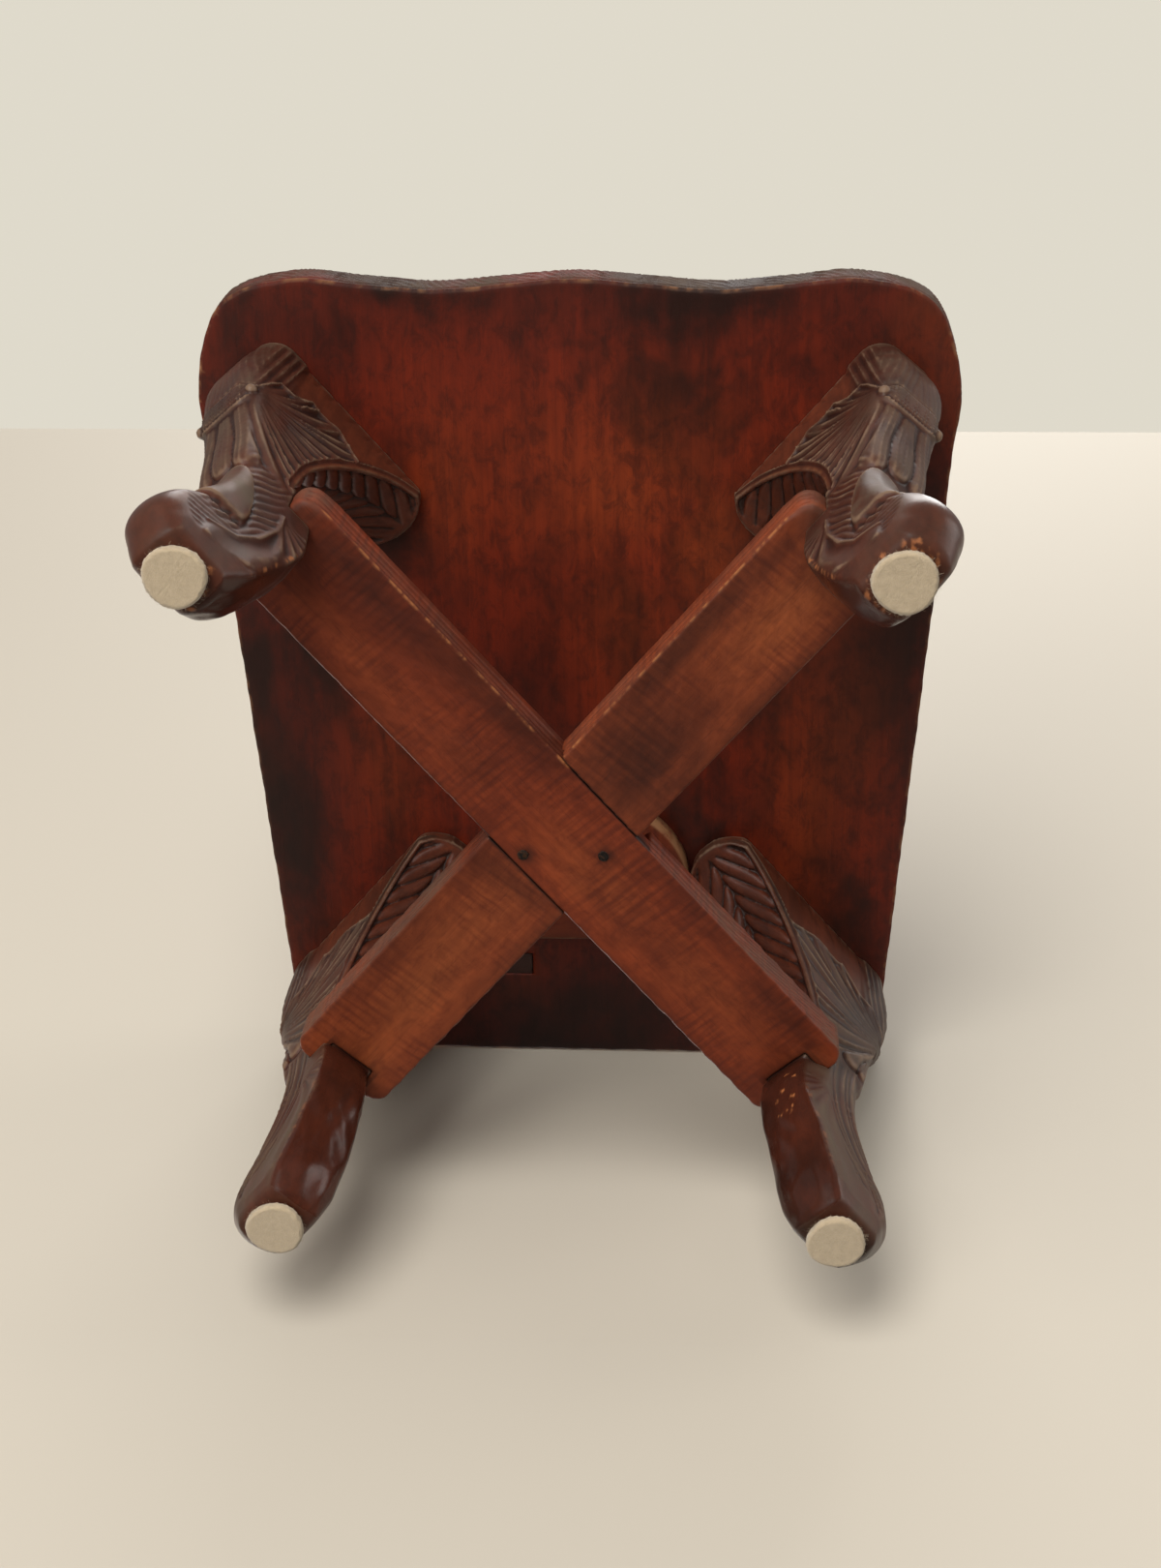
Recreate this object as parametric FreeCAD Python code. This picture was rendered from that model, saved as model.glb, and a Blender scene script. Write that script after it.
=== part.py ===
"""Low plank-seat chair on four carved diagonal legs, tied by a halved cross of two flat stretchers.

Millimetres, Z up, standing on its felt pads at Z = 0.  The front faces -Y, and the seat is centred on the origin.
"""
import FreeCAD, Part
import math
import os

from FreeCAD import Vector

# Seat plank
seat_underside = 263.0
seat_thickness = 27.0
seat_front_width = 404.0
seat_rear_width = 339.0
seat_depth = 460.0
seat_corner_run = 55.0
corner_share_x = 0.30
corner_share_y = 0.22
seat_crown_spacing = 146.0
seat_front_hollow = 5.5
seat_edge_round = 7.0

# Cross of stretchers
stretcher_underside = 113.5
stretcher_thickness = 22.0
stretcher_width = 56.0
stretcher_ear = 15.0
stretcher_tongue = 26.0
stretcher_end_round = 9.0
joint_clearance = 0.15
cut_margin = 1.0

# Legs: each foot is set in from the seat's edges, and the rest is measured from it along its diagonal
front_foot_inset = 61.9
front_foot_side = 44.0
front_ankle_back = 40.0
front_knee_out = 34.0
front_tip_back = 95.0
front_arch_back = 23.0
rear_foot_inset = 61.0
rear_foot_side = 38.4
rear_ankle_back = 35.0
rear_knee_out = 44.0
rear_tip_back = 102.0
rear_arch_back = 31.0
bracket_tip_edge = 7.0
knee_width = 44.0
calf_width = 40.0
ankle_width = 35.0
foot_width = 34.0
sole_width = 32.0
sole_length = 34.0
toe_reach = 29.0
toe_height = 30.0
heel_bulge = 4.0
leg_edge_round = 4.0
ankle_rise = 6.0

# Felt pads under the feet
pad_radius = 14.0
pad_thickness = 4.5

# Dowels from each leg into the seat
dowel_radius = 5.0
dowel_in_seat = 17.0
dowel_in_leg = 24.0
dowel_spacing = 44.0
dowel_from_knee = 24.0
dowel_end_gap = 0.5

# Backrest panel, raked and tenoned through the seat
back_height = 430.0
back_thickness = 22.0
back_base_width = 160.0
back_waist_width = 140.0
back_shoulder_width = 312.0
back_crest_drop = 24.0
back_rake = 5.5
back_from_rear = 58.4
tenon_width = 45.0
tenon_thickness = 13.4
tenon_gap = 62.0
wedge_thick_end = 3.2
wedge_thin_end = 1.0
wedge_length = 18.0

# Half-round cleat under the seat, ahead of the back tenons
cleat_width = 120.0
cleat_nose = 53.0
cleat_straight = 35.0
cleat_thickness = 14.0
cleat_from_rear = 83.0
cleat_leg_gap = 1.0

# Nails
nail_radius = 1.6
nail_head_radius = 3.0
nail_head_height = 1.2
cross_nail_length = 19.0
cross_nail_spacing = 40.0
cross_nail_back = 10.0
cleat_nail_length = 28.0
cleat_nail_spacing_x = 76.0
cleat_nail_spacing_y = 40.0

# Heights and the seat's taper
seat_top = seat_underside + seat_thickness
stretcher_top = stretcher_underside + stretcher_thickness
half_depth = seat_depth / 2


def seat_half_width(y):
    share = (y + half_depth) / seat_depth
    return (seat_front_width + (seat_rear_width - seat_front_width) * share) / 2


# Feet, and the diagonals that run through them
front_foot_y = half_depth - front_foot_inset
rear_foot_y = half_depth - rear_foot_inset
front_foot_x = seat_half_width(-front_foot_y) - front_foot_side
rear_foot_x = seat_half_width(rear_foot_y) - rear_foot_side
foot_span_x = front_foot_x + rear_foot_x
foot_span_y = front_foot_y + rear_foot_y
cross_angle = math.atan2(foot_span_x, foot_span_y)
cross_setback = foot_span_y * front_foot_x / foot_span_x - front_foot_y
front_pad = front_foot_x / math.sin(cross_angle)
front_ankle = front_pad - front_ankle_back
rear_pad = rear_foot_x / math.sin(cross_angle)
rear_ankle = rear_pad - rear_ankle_back

# Back tenons and cleat
tenon_y = half_depth - back_from_rear
tenon_x = (tenon_gap + tenon_width) / 2
cleat_rear = half_depth - cleat_from_rear
cleat_front = cleat_rear - cleat_straight
corners = {"front_left": (-1, -1), "front_right": (1, -1), "rear_left": (-1, 1), "rear_right": (1, 1)}


def spline(points):
    curve = Part.BSplineCurve()
    curve.interpolate(points)
    return curve.toShape()


def lines(points):
    return [Part.makeLine(a, b) for a, b in zip(points, points[1:])]


def prism(edges, offset):
    return Part.Face(Part.Wire(edges)).extrude(offset)


def block(x0, x1, y0, y1, z0, z1):
    return Part.makeBox(x1 - x0, y1 - y0, z1 - z0, Vector(x0, y0, z0))


def diagonal(sx, sy):
    """Turn about Z that carries +X onto the diagonal of one corner."""
    return math.degrees(math.atan2(sy * math.cos(cross_angle), sx * math.sin(cross_angle)))


def place_on_diagonal(shape, sx, sy):
    placed = shape.copy()
    placed.rotate(Vector(0, 0, 0), Vector(0, 0, 1), diagonal(sx, sy))
    placed.translate(Vector(0, cross_setback, 0))
    return placed


def seat_front_edge(x):
    """Serpentine front: crowns at the middle and near both corners, hollows between."""
    wave = (1 - math.cos(2 * math.pi * x / seat_crown_spacing)) / 2
    return -half_depth + seat_front_hollow * wave


def seat_blank():
    side_y = -half_depth + seat_corner_run
    side_x = seat_half_width(side_y)
    corner_x = side_x + (seat_crown_spacing - side_x) * corner_share_x
    corner_y = -half_depth + seat_corner_run * corner_share_y
    steps = [seat_crown_spacing * n / 4 for n in range(-4, 5)]
    front = [Vector(x, seat_front_edge(x), seat_underside) for x in steps]
    left = [Vector(-side_x, side_y, seat_underside), Vector(-corner_x, corner_y, seat_underside)]
    right = [Vector(corner_x, corner_y, seat_underside), Vector(side_x, side_y, seat_underside)]
    front_curve = spline(left + front + right)
    rear_x = seat_half_width(half_depth)
    sides = lines([
        Vector(side_x, side_y, seat_underside),
        Vector(rear_x, half_depth, seat_underside),
        Vector(-rear_x, half_depth, seat_underside),
        Vector(-side_x, side_y, seat_underside),
    ])
    blank = prism([front_curve] + sides, Vector(0, 0, seat_thickness))
    rim = [e for e in blank.Edges if all(abs(v.Z - seat_top) < 1e-6 for v in e.Vertexes)]
    return blank.makeFillet(seat_edge_round, rim)


def leg_profile(ankle, pad, knee, tip, arch_end):
    """Side outline of a leg in the plane of its diagonal: bracket, arch, heel, sole, toe, shin and knee."""
    arch_run = arch_end - tip
    arch_top = seat_underside - bracket_tip_edge
    arch_drop = arch_top - stretcher_top
    heel_back = pad - sole_length / 2
    toe_front = pad + sole_length / 2
    ankle_height = stretcher_underside - joint_clearance
    arch = spline([
        Vector(tip, 0, arch_top),
        Vector(tip + arch_run * 0.33, 0, arch_top - arch_drop * 0.12),
        Vector(tip + arch_run * 0.62, 0, arch_top - arch_drop * 0.33),
        Vector(tip + arch_run * 0.84, 0, arch_top - arch_drop * 0.57),
        Vector(tip + arch_run * 0.96, 0, arch_top - arch_drop * 0.78),
        Vector(arch_end, 0, stretcher_top),
    ])
    heel = spline([
        Vector(ankle, 0, ankle_height),
        Vector(ankle - heel_bulge, 0, ankle_height * 0.78),
        Vector(ankle + (heel_back - ankle) * 0.16, 0, ankle_height * 0.45),
        Vector(ankle + (heel_back - ankle) * 0.55, 0, ankle_height * 0.19),
        Vector(heel_back, 0, pad_thickness),
    ])
    shin = spline([
        Vector(toe_front, 0, pad_thickness),
        Vector(pad + toe_reach, 0, toe_height * 0.75),
        Vector(pad + toe_reach * 0.92, 0, toe_height * 1.35),
        Vector(pad + toe_reach * 0.45, 0, toe_height * 2.0),
        Vector(pad + (knee - pad) * 0.10, 0, stretcher_underside * 0.86),
        Vector(pad + (knee - pad) * 0.28, 0, stretcher_top + ankle_rise),
        Vector(pad + (knee - pad) * 0.70, 0, seat_underside * 0.72),
        Vector(pad + (knee - pad) * 0.98, 0, seat_underside * 0.90),
        Vector(knee, 0, seat_underside),
    ])
    top = lines([Vector(knee, 0, seat_underside), Vector(tip, 0, seat_underside), Vector(tip, 0, arch_top)])
    back = lines([
        Vector(arch_end, 0, stretcher_top),
        Vector(ankle, 0, stretcher_top),
        Vector(ankle, 0, ankle_height),
    ])
    sole = lines([Vector(heel_back, 0, pad_thickness), Vector(toe_front, 0, pad_thickness)])
    return top + [arch] + back + [heel] + sole + [shin]


def leg_front_outline(reach):
    """Front view of a leg: widest at the knee, slim at the ankle, a little fuller at the foot."""
    heights = [pad_thickness, toe_height, stretcher_underside, stretcher_top, seat_underside * 0.74, seat_underside]
    widths = [sole_width, foot_width, ankle_width, ankle_width, calf_width, knee_width]
    right = [Vector(0, w / 2, z) for w, z in zip(widths, heights)]
    left = [Vector(0, -w / 2, z) for w, z in zip(widths, heights)]
    edges = [spline(right), spline(left)]
    edges += lines([right[0], left[0]]) + lines([right[-1], left[-1]])
    return prism(Part.__sortEdges__(edges), Vector(reach, 0, 0))


def stretcher_bar(front_end, rear_end, grow):
    """Flat bar along X with a notch at both ends that clasps a leg; grow widens it to cut a housing."""
    half = stretcher_width / 2 + grow
    tongue = stretcher_tongue / 2 - grow
    low = stretcher_underside - grow
    high = stretcher_top + grow
    bar = block(-rear_end - grow, front_end + grow, -half, half, low, high)
    upright = [e for e in bar.Edges if abs(e.Vertexes[0].Z - e.Vertexes[1].Z) > 1]
    bar = bar.makeFillet(stretcher_end_round, upright)
    front_notch = block(front_end - stretcher_ear + grow, front_end + half, -tongue, tongue, low, high)
    rear_notch = block(-rear_end - half, -rear_end + stretcher_ear - grow, -tongue, tongue, low, high)
    return bar.cut(front_notch).cut(rear_notch)


def stretcher_ends():
    ends = []
    for ankle in (front_ankle, rear_ankle):
        ends.append(ankle + stretcher_ear - joint_clearance)
    return ends


def crossing_prism(grow, z0, z1, turn):
    """Part of a bar crossing the other bar at the middle, used to cut the halving."""
    half = stretcher_width / 2 + grow
    bar = block(-seat_front_width, seat_front_width, -half, half, z0, z1)
    bar.rotate(Vector(0, 0, 0), Vector(0, 0, 1), turn)
    return bar


def stretchers():
    front_end, rear_end = stretcher_ends()
    middle = (stretcher_underside + stretcher_top) / 2
    between = diagonal(1, -1) - diagonal(-1, -1)
    through = stretcher_bar(front_end, rear_end, 0)
    through = through.cut(crossing_prism(joint_clearance, middle, stretcher_top + cut_margin, between))
    lapped = stretcher_bar(front_end, rear_end, 0)
    lapped = lapped.cut(crossing_prism(joint_clearance, stretcher_underside - cut_margin, middle, -between))
    return place_on_diagonal(through, -1, -1), place_on_diagonal(lapped, 1, -1)


def dowel_places(knee):
    outer = knee - dowel_from_knee
    return [outer, outer - dowel_spacing]


def dowel(x, gap):
    bottom = seat_underside - dowel_in_leg - gap
    length = dowel_in_leg + dowel_in_seat + 2 * gap
    return Part.makeCylinder(dowel_radius, length, Vector(x, 0, bottom))


def leg_plan(tip, reach, grow):
    """Plan outline of a leg: a round nose where the bracket ends under the seat."""
    radius = knee_width / 2 + leg_edge_round
    middle = tip + radius
    nose = Part.makeCylinder(radius + grow, seat_underside, Vector(middle, 0, 0))
    return nose.fuse(block(middle, reach, -radius - grow, radius + grow, 0, seat_underside))


def leg(ankle, pad, knee, tip, arch_end):
    reach = knee + toe_reach
    body = prism(leg_profile(ankle, pad, knee, tip, arch_end), Vector(0, 2 * knee_width, 0))
    body.translate(Vector(0, -knee_width, 0))
    body = body.common(leg_front_outline(reach)).common(leg_plan(tip, reach, 0))
    soft = [e for e in body.Edges if e.BoundBox.ZLength > toe_height and e.BoundBox.YLength < knee_width / 2]
    body = body.makeFillet(leg_edge_round, soft)
    end = ankle + stretcher_ear - joint_clearance
    body = body.cut(stretcher_bar(end, end, joint_clearance))
    for x in dowel_places(knee):
        body = body.cut(dowel(x, dowel_end_gap))
    return body


def dowel_pair(knee):
    return Part.makeCompound([dowel(x, 0) for x in dowel_places(knee)])


def felt_pad(pad):
    return Part.makeCylinder(pad_radius, pad_thickness, Vector(pad, 0, 0))


def rake(shape):
    turned = shape.copy()
    turned.rotate(Vector(0, tenon_y, seat_underside), Vector(1, 0, 0), -back_rake)
    return turned


def tenon(side, grow):
    x0 = side * tenon_x - tenon_width / 2 - grow
    x1 = side * tenon_x + tenon_width / 2 + grow
    half = tenon_thickness / 2 + grow
    over = tenon_thickness
    peg = block(x0, x1, tenon_y - half, tenon_y + half, seat_underside - over, seat_top + over)
    return rake(peg)


def wedge(side):
    """Thin wedge driven up into the end of a back tenon, to spread it in its mortise."""
    x = side * tenon_x
    low = seat_underside
    high = seat_underside + wedge_length
    y = tenon_y - tenon_thickness / 2
    outline = [
        Vector(x - wedge_thick_end / 2, y, low),
        Vector(x + wedge_thick_end / 2, y, low),
        Vector(x + wedge_thin_end / 2, y, high),
        Vector(x - wedge_thin_end / 2, y, high),
        Vector(x - wedge_thick_end / 2, y, low),
    ]
    return prism(lines(outline), Vector(0, tenon_thickness, 0))


def back_outline():
    """Vase-shaped plank: narrow waist above the seat, broad shoulders and a raised middle crest."""
    base = seat_top - back_thickness
    points = [
        Vector(back_base_width / 2, 0, seat_top),
        Vector(back_waist_width / 2, 0, seat_top + back_height * 0.11),
        Vector(back_waist_width * 0.62, 0, seat_top + back_height * 0.29),
        Vector(back_shoulder_width * 0.42, 0, seat_top + back_height * 0.49),
        Vector(back_shoulder_width / 2, 0, seat_top + back_height * 0.70),
        Vector(back_shoulder_width * 0.46, 0, seat_top + back_height * 0.86),
        Vector(back_shoulder_width * 0.33, 0, seat_top + back_height - back_crest_drop * 1.2),
        Vector(back_shoulder_width * 0.17, 0, seat_top + back_height - back_crest_drop),
        Vector(0, 0, seat_top + back_height),
    ]
    mirrored = [Vector(-p.x, 0, p.z) for p in reversed(points[:-1])]
    foot = lines([
        mirrored[-1],
        Vector(-back_base_width / 2, 0, base),
        Vector(back_base_width / 2, 0, base),
        points[0],
    ])
    return [spline(points + mirrored)] + foot


def back_panel():
    plank = prism(back_outline(), Vector(0, back_thickness, 0))
    plank.translate(Vector(0, tenon_y - back_thickness / 2, 0))
    wide = back_shoulder_width
    plank = rake(plank).cut(block(-wide, wide, -seat_depth, seat_depth, 0, seat_top))
    through = block(-wide, wide, -seat_depth, seat_depth, seat_underside, seat_top + tenon_thickness)
    for side in (-1, 1):
        plank = plank.fuse(tenon(side, 0).common(through))
        plank = plank.cut(wedge_in_place(side))
    return plank.removeSplitter()


def wedge_in_place(side):
    body = wedge(side)
    return rake(body).common(block(-seat_front_width, seat_front_width, 0, seat_depth, seat_underside, seat_top))


def cleat():
    """Half-round cleat: a rounded nose toward the front and a straight rear edge, scribed round the rear brackets."""
    low = seat_underside - cleat_thickness
    nose = Part.Ellipse(Vector(0, cleat_front, low), cleat_width / 2, cleat_nose)
    left = Vector(-cleat_width / 2, cleat_front, low)
    right = Vector(cleat_width / 2, cleat_front, low)
    curve = Part.ArcOfEllipse(nose, math.pi, 2 * math.pi).toShape()
    sides = lines([right, Vector(right.x, cleat_rear, low), Vector(left.x, cleat_rear, low), left])
    body = prism([curve] + sides, Vector(0, 0, cleat_thickness))
    knee, tip = leg_sizes(1)[2:4]
    for side in (-1, 1):
        body = body.cut(place_on_diagonal(leg_plan(tip, knee, cleat_leg_gap), side, 1))
    return body.cut(Part.makeCompound(cleat_nail_list()))


def nail(x, y, z, length):
    """Round nail driven upward, its flat head flush with the face at height z."""
    head = Part.makeCylinder(nail_head_radius, nail_head_height, Vector(x, y, z))
    shank = Part.makeCylinder(nail_radius, length, Vector(x, y, z))
    return head.fuse(shank).removeSplitter()


def cleat_nail_list():
    middle = cleat_rear - cleat_straight / 2 - cleat_nail_spacing_y / 4
    nails = []
    for sx in (-1, 1):
        for sy in (-1, 1):
            x = sx * cleat_nail_spacing_x / 2
            y = middle + sy * cleat_nail_spacing_y / 2
            nails.append(nail(x, y, seat_underside - cleat_thickness, cleat_nail_length))
    return nails


def cross_nail_list():
    y = cross_setback + cross_nail_back
    places = (-cross_nail_spacing / 2, cross_nail_spacing / 2)
    return [nail(x, y, stretcher_underside, cross_nail_length) for x in places]


def leg_sizes(sy):
    if sy < 0:
        pad = front_pad
        return front_ankle, pad, pad + front_knee_out, pad - front_tip_back, pad - front_arch_back
    pad = rear_pad
    return rear_ankle, pad, pad + rear_knee_out, pad - rear_tip_back, pad - rear_arch_back


def seat_plank():
    seat = seat_blank()
    for side in (-1, 1):
        seat = seat.cut(tenon(side, joint_clearance))
    for sx, sy in corners.values():
        knee = leg_sizes(sy)[2]
        for x in dowel_places(knee):
            seat = seat.cut(place_on_diagonal(dowel(x, dowel_end_gap), sx, sy))
    return seat.cut(Part.makeCompound(cleat_nail_list()))


def build():
    nodes = {"seat_plank": seat_plank(), "back_panel": back_panel()}
    nodes["back_wedge_left"] = wedge_in_place(-1)
    nodes["back_wedge_right"] = wedge_in_place(1)
    cross_nails = Part.makeCompound(cross_nail_list())
    through, lapped = stretchers()
    nodes["through_stretcher"] = through.cut(cross_nails)
    nodes["lapped_stretcher"] = lapped.cut(cross_nails)
    nodes["crossing_nails"] = cross_nails
    nodes["seat_cleat"] = cleat()
    nodes["cleat_nails"] = Part.makeCompound(cleat_nail_list())
    for name, (sx, sy) in corners.items():
        ankle, pad, knee, tip, arch_end = leg_sizes(sy)
        nodes[name + "_leg"] = place_on_diagonal(leg(ankle, pad, knee, tip, arch_end), sx, sy)
        nodes[name + "_dowels"] = place_on_diagonal(dowel_pair(knee), sx, sy)
        nodes[name + "_felt_pad"] = place_on_diagonal(felt_pad(pad), sx, sy)
    return nodes


os.makedirs("parts", exist_ok=True)
for node_name, node_shape in build().items():
    node_shape.exportStep("parts/" + node_name + ".step")
    print(node_name, len(node_shape.Solids), "solids", round(node_shape.Volume / 1000, 1), "cm3")
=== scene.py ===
import math

import bmesh
import bpy
import numpy as np
from mathutils import Matrix, Vector
from mathutils.geometry import delaunay_2d_cdt


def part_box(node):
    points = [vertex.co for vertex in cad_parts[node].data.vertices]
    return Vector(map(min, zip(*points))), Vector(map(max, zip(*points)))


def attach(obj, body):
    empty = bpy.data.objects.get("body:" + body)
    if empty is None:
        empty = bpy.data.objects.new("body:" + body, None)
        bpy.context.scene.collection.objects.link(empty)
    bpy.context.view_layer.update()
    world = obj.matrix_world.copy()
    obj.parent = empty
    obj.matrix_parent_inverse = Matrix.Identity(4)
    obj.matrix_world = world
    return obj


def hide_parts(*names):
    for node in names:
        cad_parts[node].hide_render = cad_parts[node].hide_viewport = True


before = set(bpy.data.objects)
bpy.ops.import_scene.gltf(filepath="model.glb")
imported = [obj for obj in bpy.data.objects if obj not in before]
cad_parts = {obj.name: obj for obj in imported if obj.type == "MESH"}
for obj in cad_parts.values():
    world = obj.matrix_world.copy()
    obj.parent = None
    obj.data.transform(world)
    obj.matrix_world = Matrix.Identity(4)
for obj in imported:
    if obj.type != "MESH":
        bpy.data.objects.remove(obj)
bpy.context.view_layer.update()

mm = 0.001  # shapes are worked out in millimetres
scene = bpy.context.scene


def nodeBox(node):
    low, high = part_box(node)
    return np.array(low) / mm, np.array(high) / mm


# where things stand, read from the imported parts
frontPad = sum(nodeBox("front_left_felt_pad")) / 2
rearPad = sum(nodeBox("rear_right_felt_pad")) / 2
footSpan = rearPad - frontPad
crossAngle = math.atan2(footSpan[0], footSpan[1])
crossY = frontPad[1] - footSpan[1] * frontPad[0] / footSpan[0]
frontReach = -frontPad[0] / math.sin(crossAngle)
rearReach = rearPad[0] / math.sin(crossAngle)
padThickness = nodeBox("front_left_felt_pad")[1][2]
seatLow, seatHigh = nodeBox("seat_plank")
seatUnder, seatTop = seatLow[2], seatHigh[2]
boardLow, boardHigh = (box[2] for box in nodeBox("through_stretcher"))
corners = {"front_left": (-1, -1), "front_right": (1, -1), "rear_left": (-1, 1), "rear_right": (1, 1)}
print("layout read: diagonals at", round(math.degrees(crossAngle), 2), "degrees")


# small maths shared by the carved pieces

def soft(low, high, x):  # smooth step
    s = np.clip((x - low) / (high - low), 0, 1)
    return s * s * (3 - 2 * s)


def band(x, low, high, blur):  # 1 between low and high
    return soft(low - blur, low + blur, x) * (1 - soft(high - blur, high + blur, x))


def hollow(k):  # concave flutes with narrow ridges between, 0 on the ridge and about -1 in the hollow
    return 0.16 - np.sqrt(np.sin(np.pi * k) ** 2 + 0.026)


def swell(x, width):  # bell-shaped rise of 1 at x = 0
    return np.exp(-(x / width) ** 2)


def dome(distance, radius):
    return np.sqrt(np.clip(1 - (distance / radius) ** 2, 0, 1))


def hashWave(x, seed):  # slow uneven wander for hand work
    return (np.sin(x * 0.071 + seed) + np.sin(x * 0.173 + 2.1 * seed) + 0.6 * np.sin(x * 0.391 + 3.7 * seed)) / 2.6


def roundMeet(a, b, radius):  # two faces meeting in a rounded arris
    p, q = a + radius, b + radius
    return np.minimum(np.maximum(p, q), 0) + np.hypot(np.maximum(p, 0), np.maximum(q, 0)) - radius


def curvePoints(points, perSpan):  # smooth line through a few points
    pts = np.array(points, float)
    ends = np.vstack([2 * pts[0] - pts[1], pts, 2 * pts[-1] - pts[-2]])
    gaps = np.sqrt(np.linalg.norm(np.diff(ends, axis=0), axis=1))
    knots = np.concatenate([[0], np.cumsum(gaps)])
    line = []
    for i in range(1, len(ends) - 2):
        t0, t1, t2, t3 = knots[i - 1:i + 3]
        p0, p1, p2, p3 = ends[i - 1:i + 3]
        for t in np.linspace(t1, t2, perSpan, endpoint=False):
            a1 = p0 + (p1 - p0) * (t - t0) / (t1 - t0)
            a2 = p1 + (p2 - p1) * (t - t1) / (t2 - t1)
            a3 = p2 + (p3 - p2) * (t - t2) / (t3 - t2)
            b1 = a1 + (a2 - a1) * (t - t0) / (t2 - t0)
            b2 = a2 + (a3 - a2) * (t - t1) / (t3 - t1)
            line.append(b1 + (b2 - b1) * (t - t1) / (t2 - t1))
    line.append(pts[-1])
    return np.array(line)


def outlineDistance(line, x, y):  # signed distance to a closed outline, and how far along it the nearest point lies
    x, y = np.broadcast_arrays(x, y)
    best = np.full(x.shape, 1e9)
    along = np.zeros(x.shape)
    inside = np.zeros(x.shape, bool)
    start = 0.0
    for (ax, ay), (bx, by) in zip(line, np.roll(line, -1, axis=0)):
        dx, dy = bx - ax, by - ay
        length = math.hypot(dx, dy)
        if length < 1e-9:
            continue
        s = np.clip(((x - ax) * dx + (y - ay) * dy) / length ** 2, 0, 1)
        d = (x - ax - s * dx) ** 2 + (y - ay - s * dy) ** 2
        closer = d < best
        best = np.where(closer, d, best)
        along = np.where(closer, start + s * length, along)
        if ay != by:
            inside ^= ((ay > y) != (by > y)) & (x < dx * (y - ay) / dy + ax)
        start += length
    return np.where(inside, -1, 1) * np.sqrt(best), along


def lineDistance(line, x, y):  # distance to an open line
    best = np.full(np.broadcast(x, y).shape, 1e9)
    for (ax, ay), (bx, by) in zip(line, line[1:]):
        dx, dy = bx - ax, by - ay
        s = np.clip(((x - ax) * dx + (y - ay) * dy) / (dx * dx + dy * dy), 0, 1)
        best = np.minimum(best, (x - ax - s * dx) ** 2 + (y - ay - s * dy) ** 2)
    return np.sqrt(best)


# skins a solid that is given as a distance function: rough shape first, carving only near the surface
def skin(rough, carved, low, high, step, reach):
    low, step = np.array(low, float), np.array(step, float)
    axes = [np.arange(a, b + s, s) for a, b, s in zip(low, high, step)]
    grid = np.meshgrid(*axes, indexing="ij", sparse=True)
    values = np.array(np.broadcast_to(rough(*grid), [len(a) for a in axes]))
    near = np.argwhere(np.abs(values) < reach)
    values[tuple(near.T)] = carved(*(near * step + low).T)
    inside = values < 0
    cells = [(i, j, k) for i in (0, 1) for j in (0, 1) for k in (0, 1)]
    size = [n - 1 for n in inside.shape]
    filled = sum(inside[i:i + size[0], j:j + size[1], k:k + size[2]].astype(np.int8) for i, j, k in cells)
    active = (filled > 0) & (filled < 8)
    where = np.argwhere(active)
    number = np.full(active.shape, -1)
    number[active] = np.arange(len(where))
    held = [values[tuple((where + c).T)] for c in cells]
    total = np.zeros((len(where), 3))
    hits = np.zeros(len(where))
    for a in range(8):
        for b in range(a + 1, 8):
            if sum(m != n for m, n in zip(cells[a], cells[b])) != 1:
                continue
            crossed = (held[a] < 0) != (held[b] < 0)
            share = np.where(crossed, held[a] / np.where(crossed, held[a] - held[b], 1), 0)
            spot = np.array(cells[a]) + share[:, None] * (np.array(cells[b]) - np.array(cells[a]))
            total += spot * crossed[:, None]
            hits += crossed
    points = (where + total / hits[:, None]) * step + low
    faces = []
    for axis in range(3):
        b, c = (axis + 1) % 3, (axis + 2) % 3
        first = np.take(inside, range(inside.shape[axis] - 1), axis)
        change = np.argwhere(first != np.take(inside, range(1, inside.shape[axis]), axis))
        change = change[(change[:, b] > 0) & (change[:, c] > 0)]
        change = change[(change[:, b] < size[b]) & (change[:, c] < size[c])]
        ring = []
        for ob, oc in ((-1, -1), (0, -1), (0, 0), (-1, 0)):
            shift = np.zeros(3, int)
            shift[b], shift[c] = ob, oc
            ring.append(number[tuple((change + shift).T)])
        quads = np.stack(ring, 1)
        outward = first[tuple(change.T)]
        faces.append(np.where(outward[:, None], quads, quads[:, ::-1]))
    return points, np.vstack(faces)


def eased(points, faces, rounds, share):  # draws each point towards its neighbours
    start = np.concatenate([faces.ravel(), np.roll(faces, -1, 1).ravel()])
    end = np.concatenate([np.roll(faces, -1, 1).ravel(), faces.ravel()])
    count = np.maximum(np.bincount(start, minlength=len(points)), 1)
    for _ in range(rounds):
        mean = np.stack([np.bincount(start, points[end, i], len(points)) for i in range(3)], 1) / count[:, None]
        points = points + share * (mean - points)
    return points


def carveDepth(points, faces, rounds):  # how far each point stands proud of its smoothed surroundings
    across = np.cross(points[faces[:, 2]] - points[faces[:, 0]], points[faces[:, 3]] - points[faces[:, 1]])
    normal = np.zeros_like(points)
    for i in range(4):
        np.add.at(normal, faces[:, i], across)
    normal /= np.maximum(np.linalg.norm(normal, axis=1), 1e-9)[:, None]
    return ((points - eased(points, faces, rounds, 1.0)) * normal).sum(1)


def addObject(name, data):
    made = bpy.data.objects.new(name, data)
    scene.collection.objects.link(made)
    return made


def bakedMesh(piece):  # its mesh with the modifiers applied
    return bpy.data.meshes.new_from_object(piece.evaluated_get(bpy.context.evaluated_depsgraph_get()))


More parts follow.
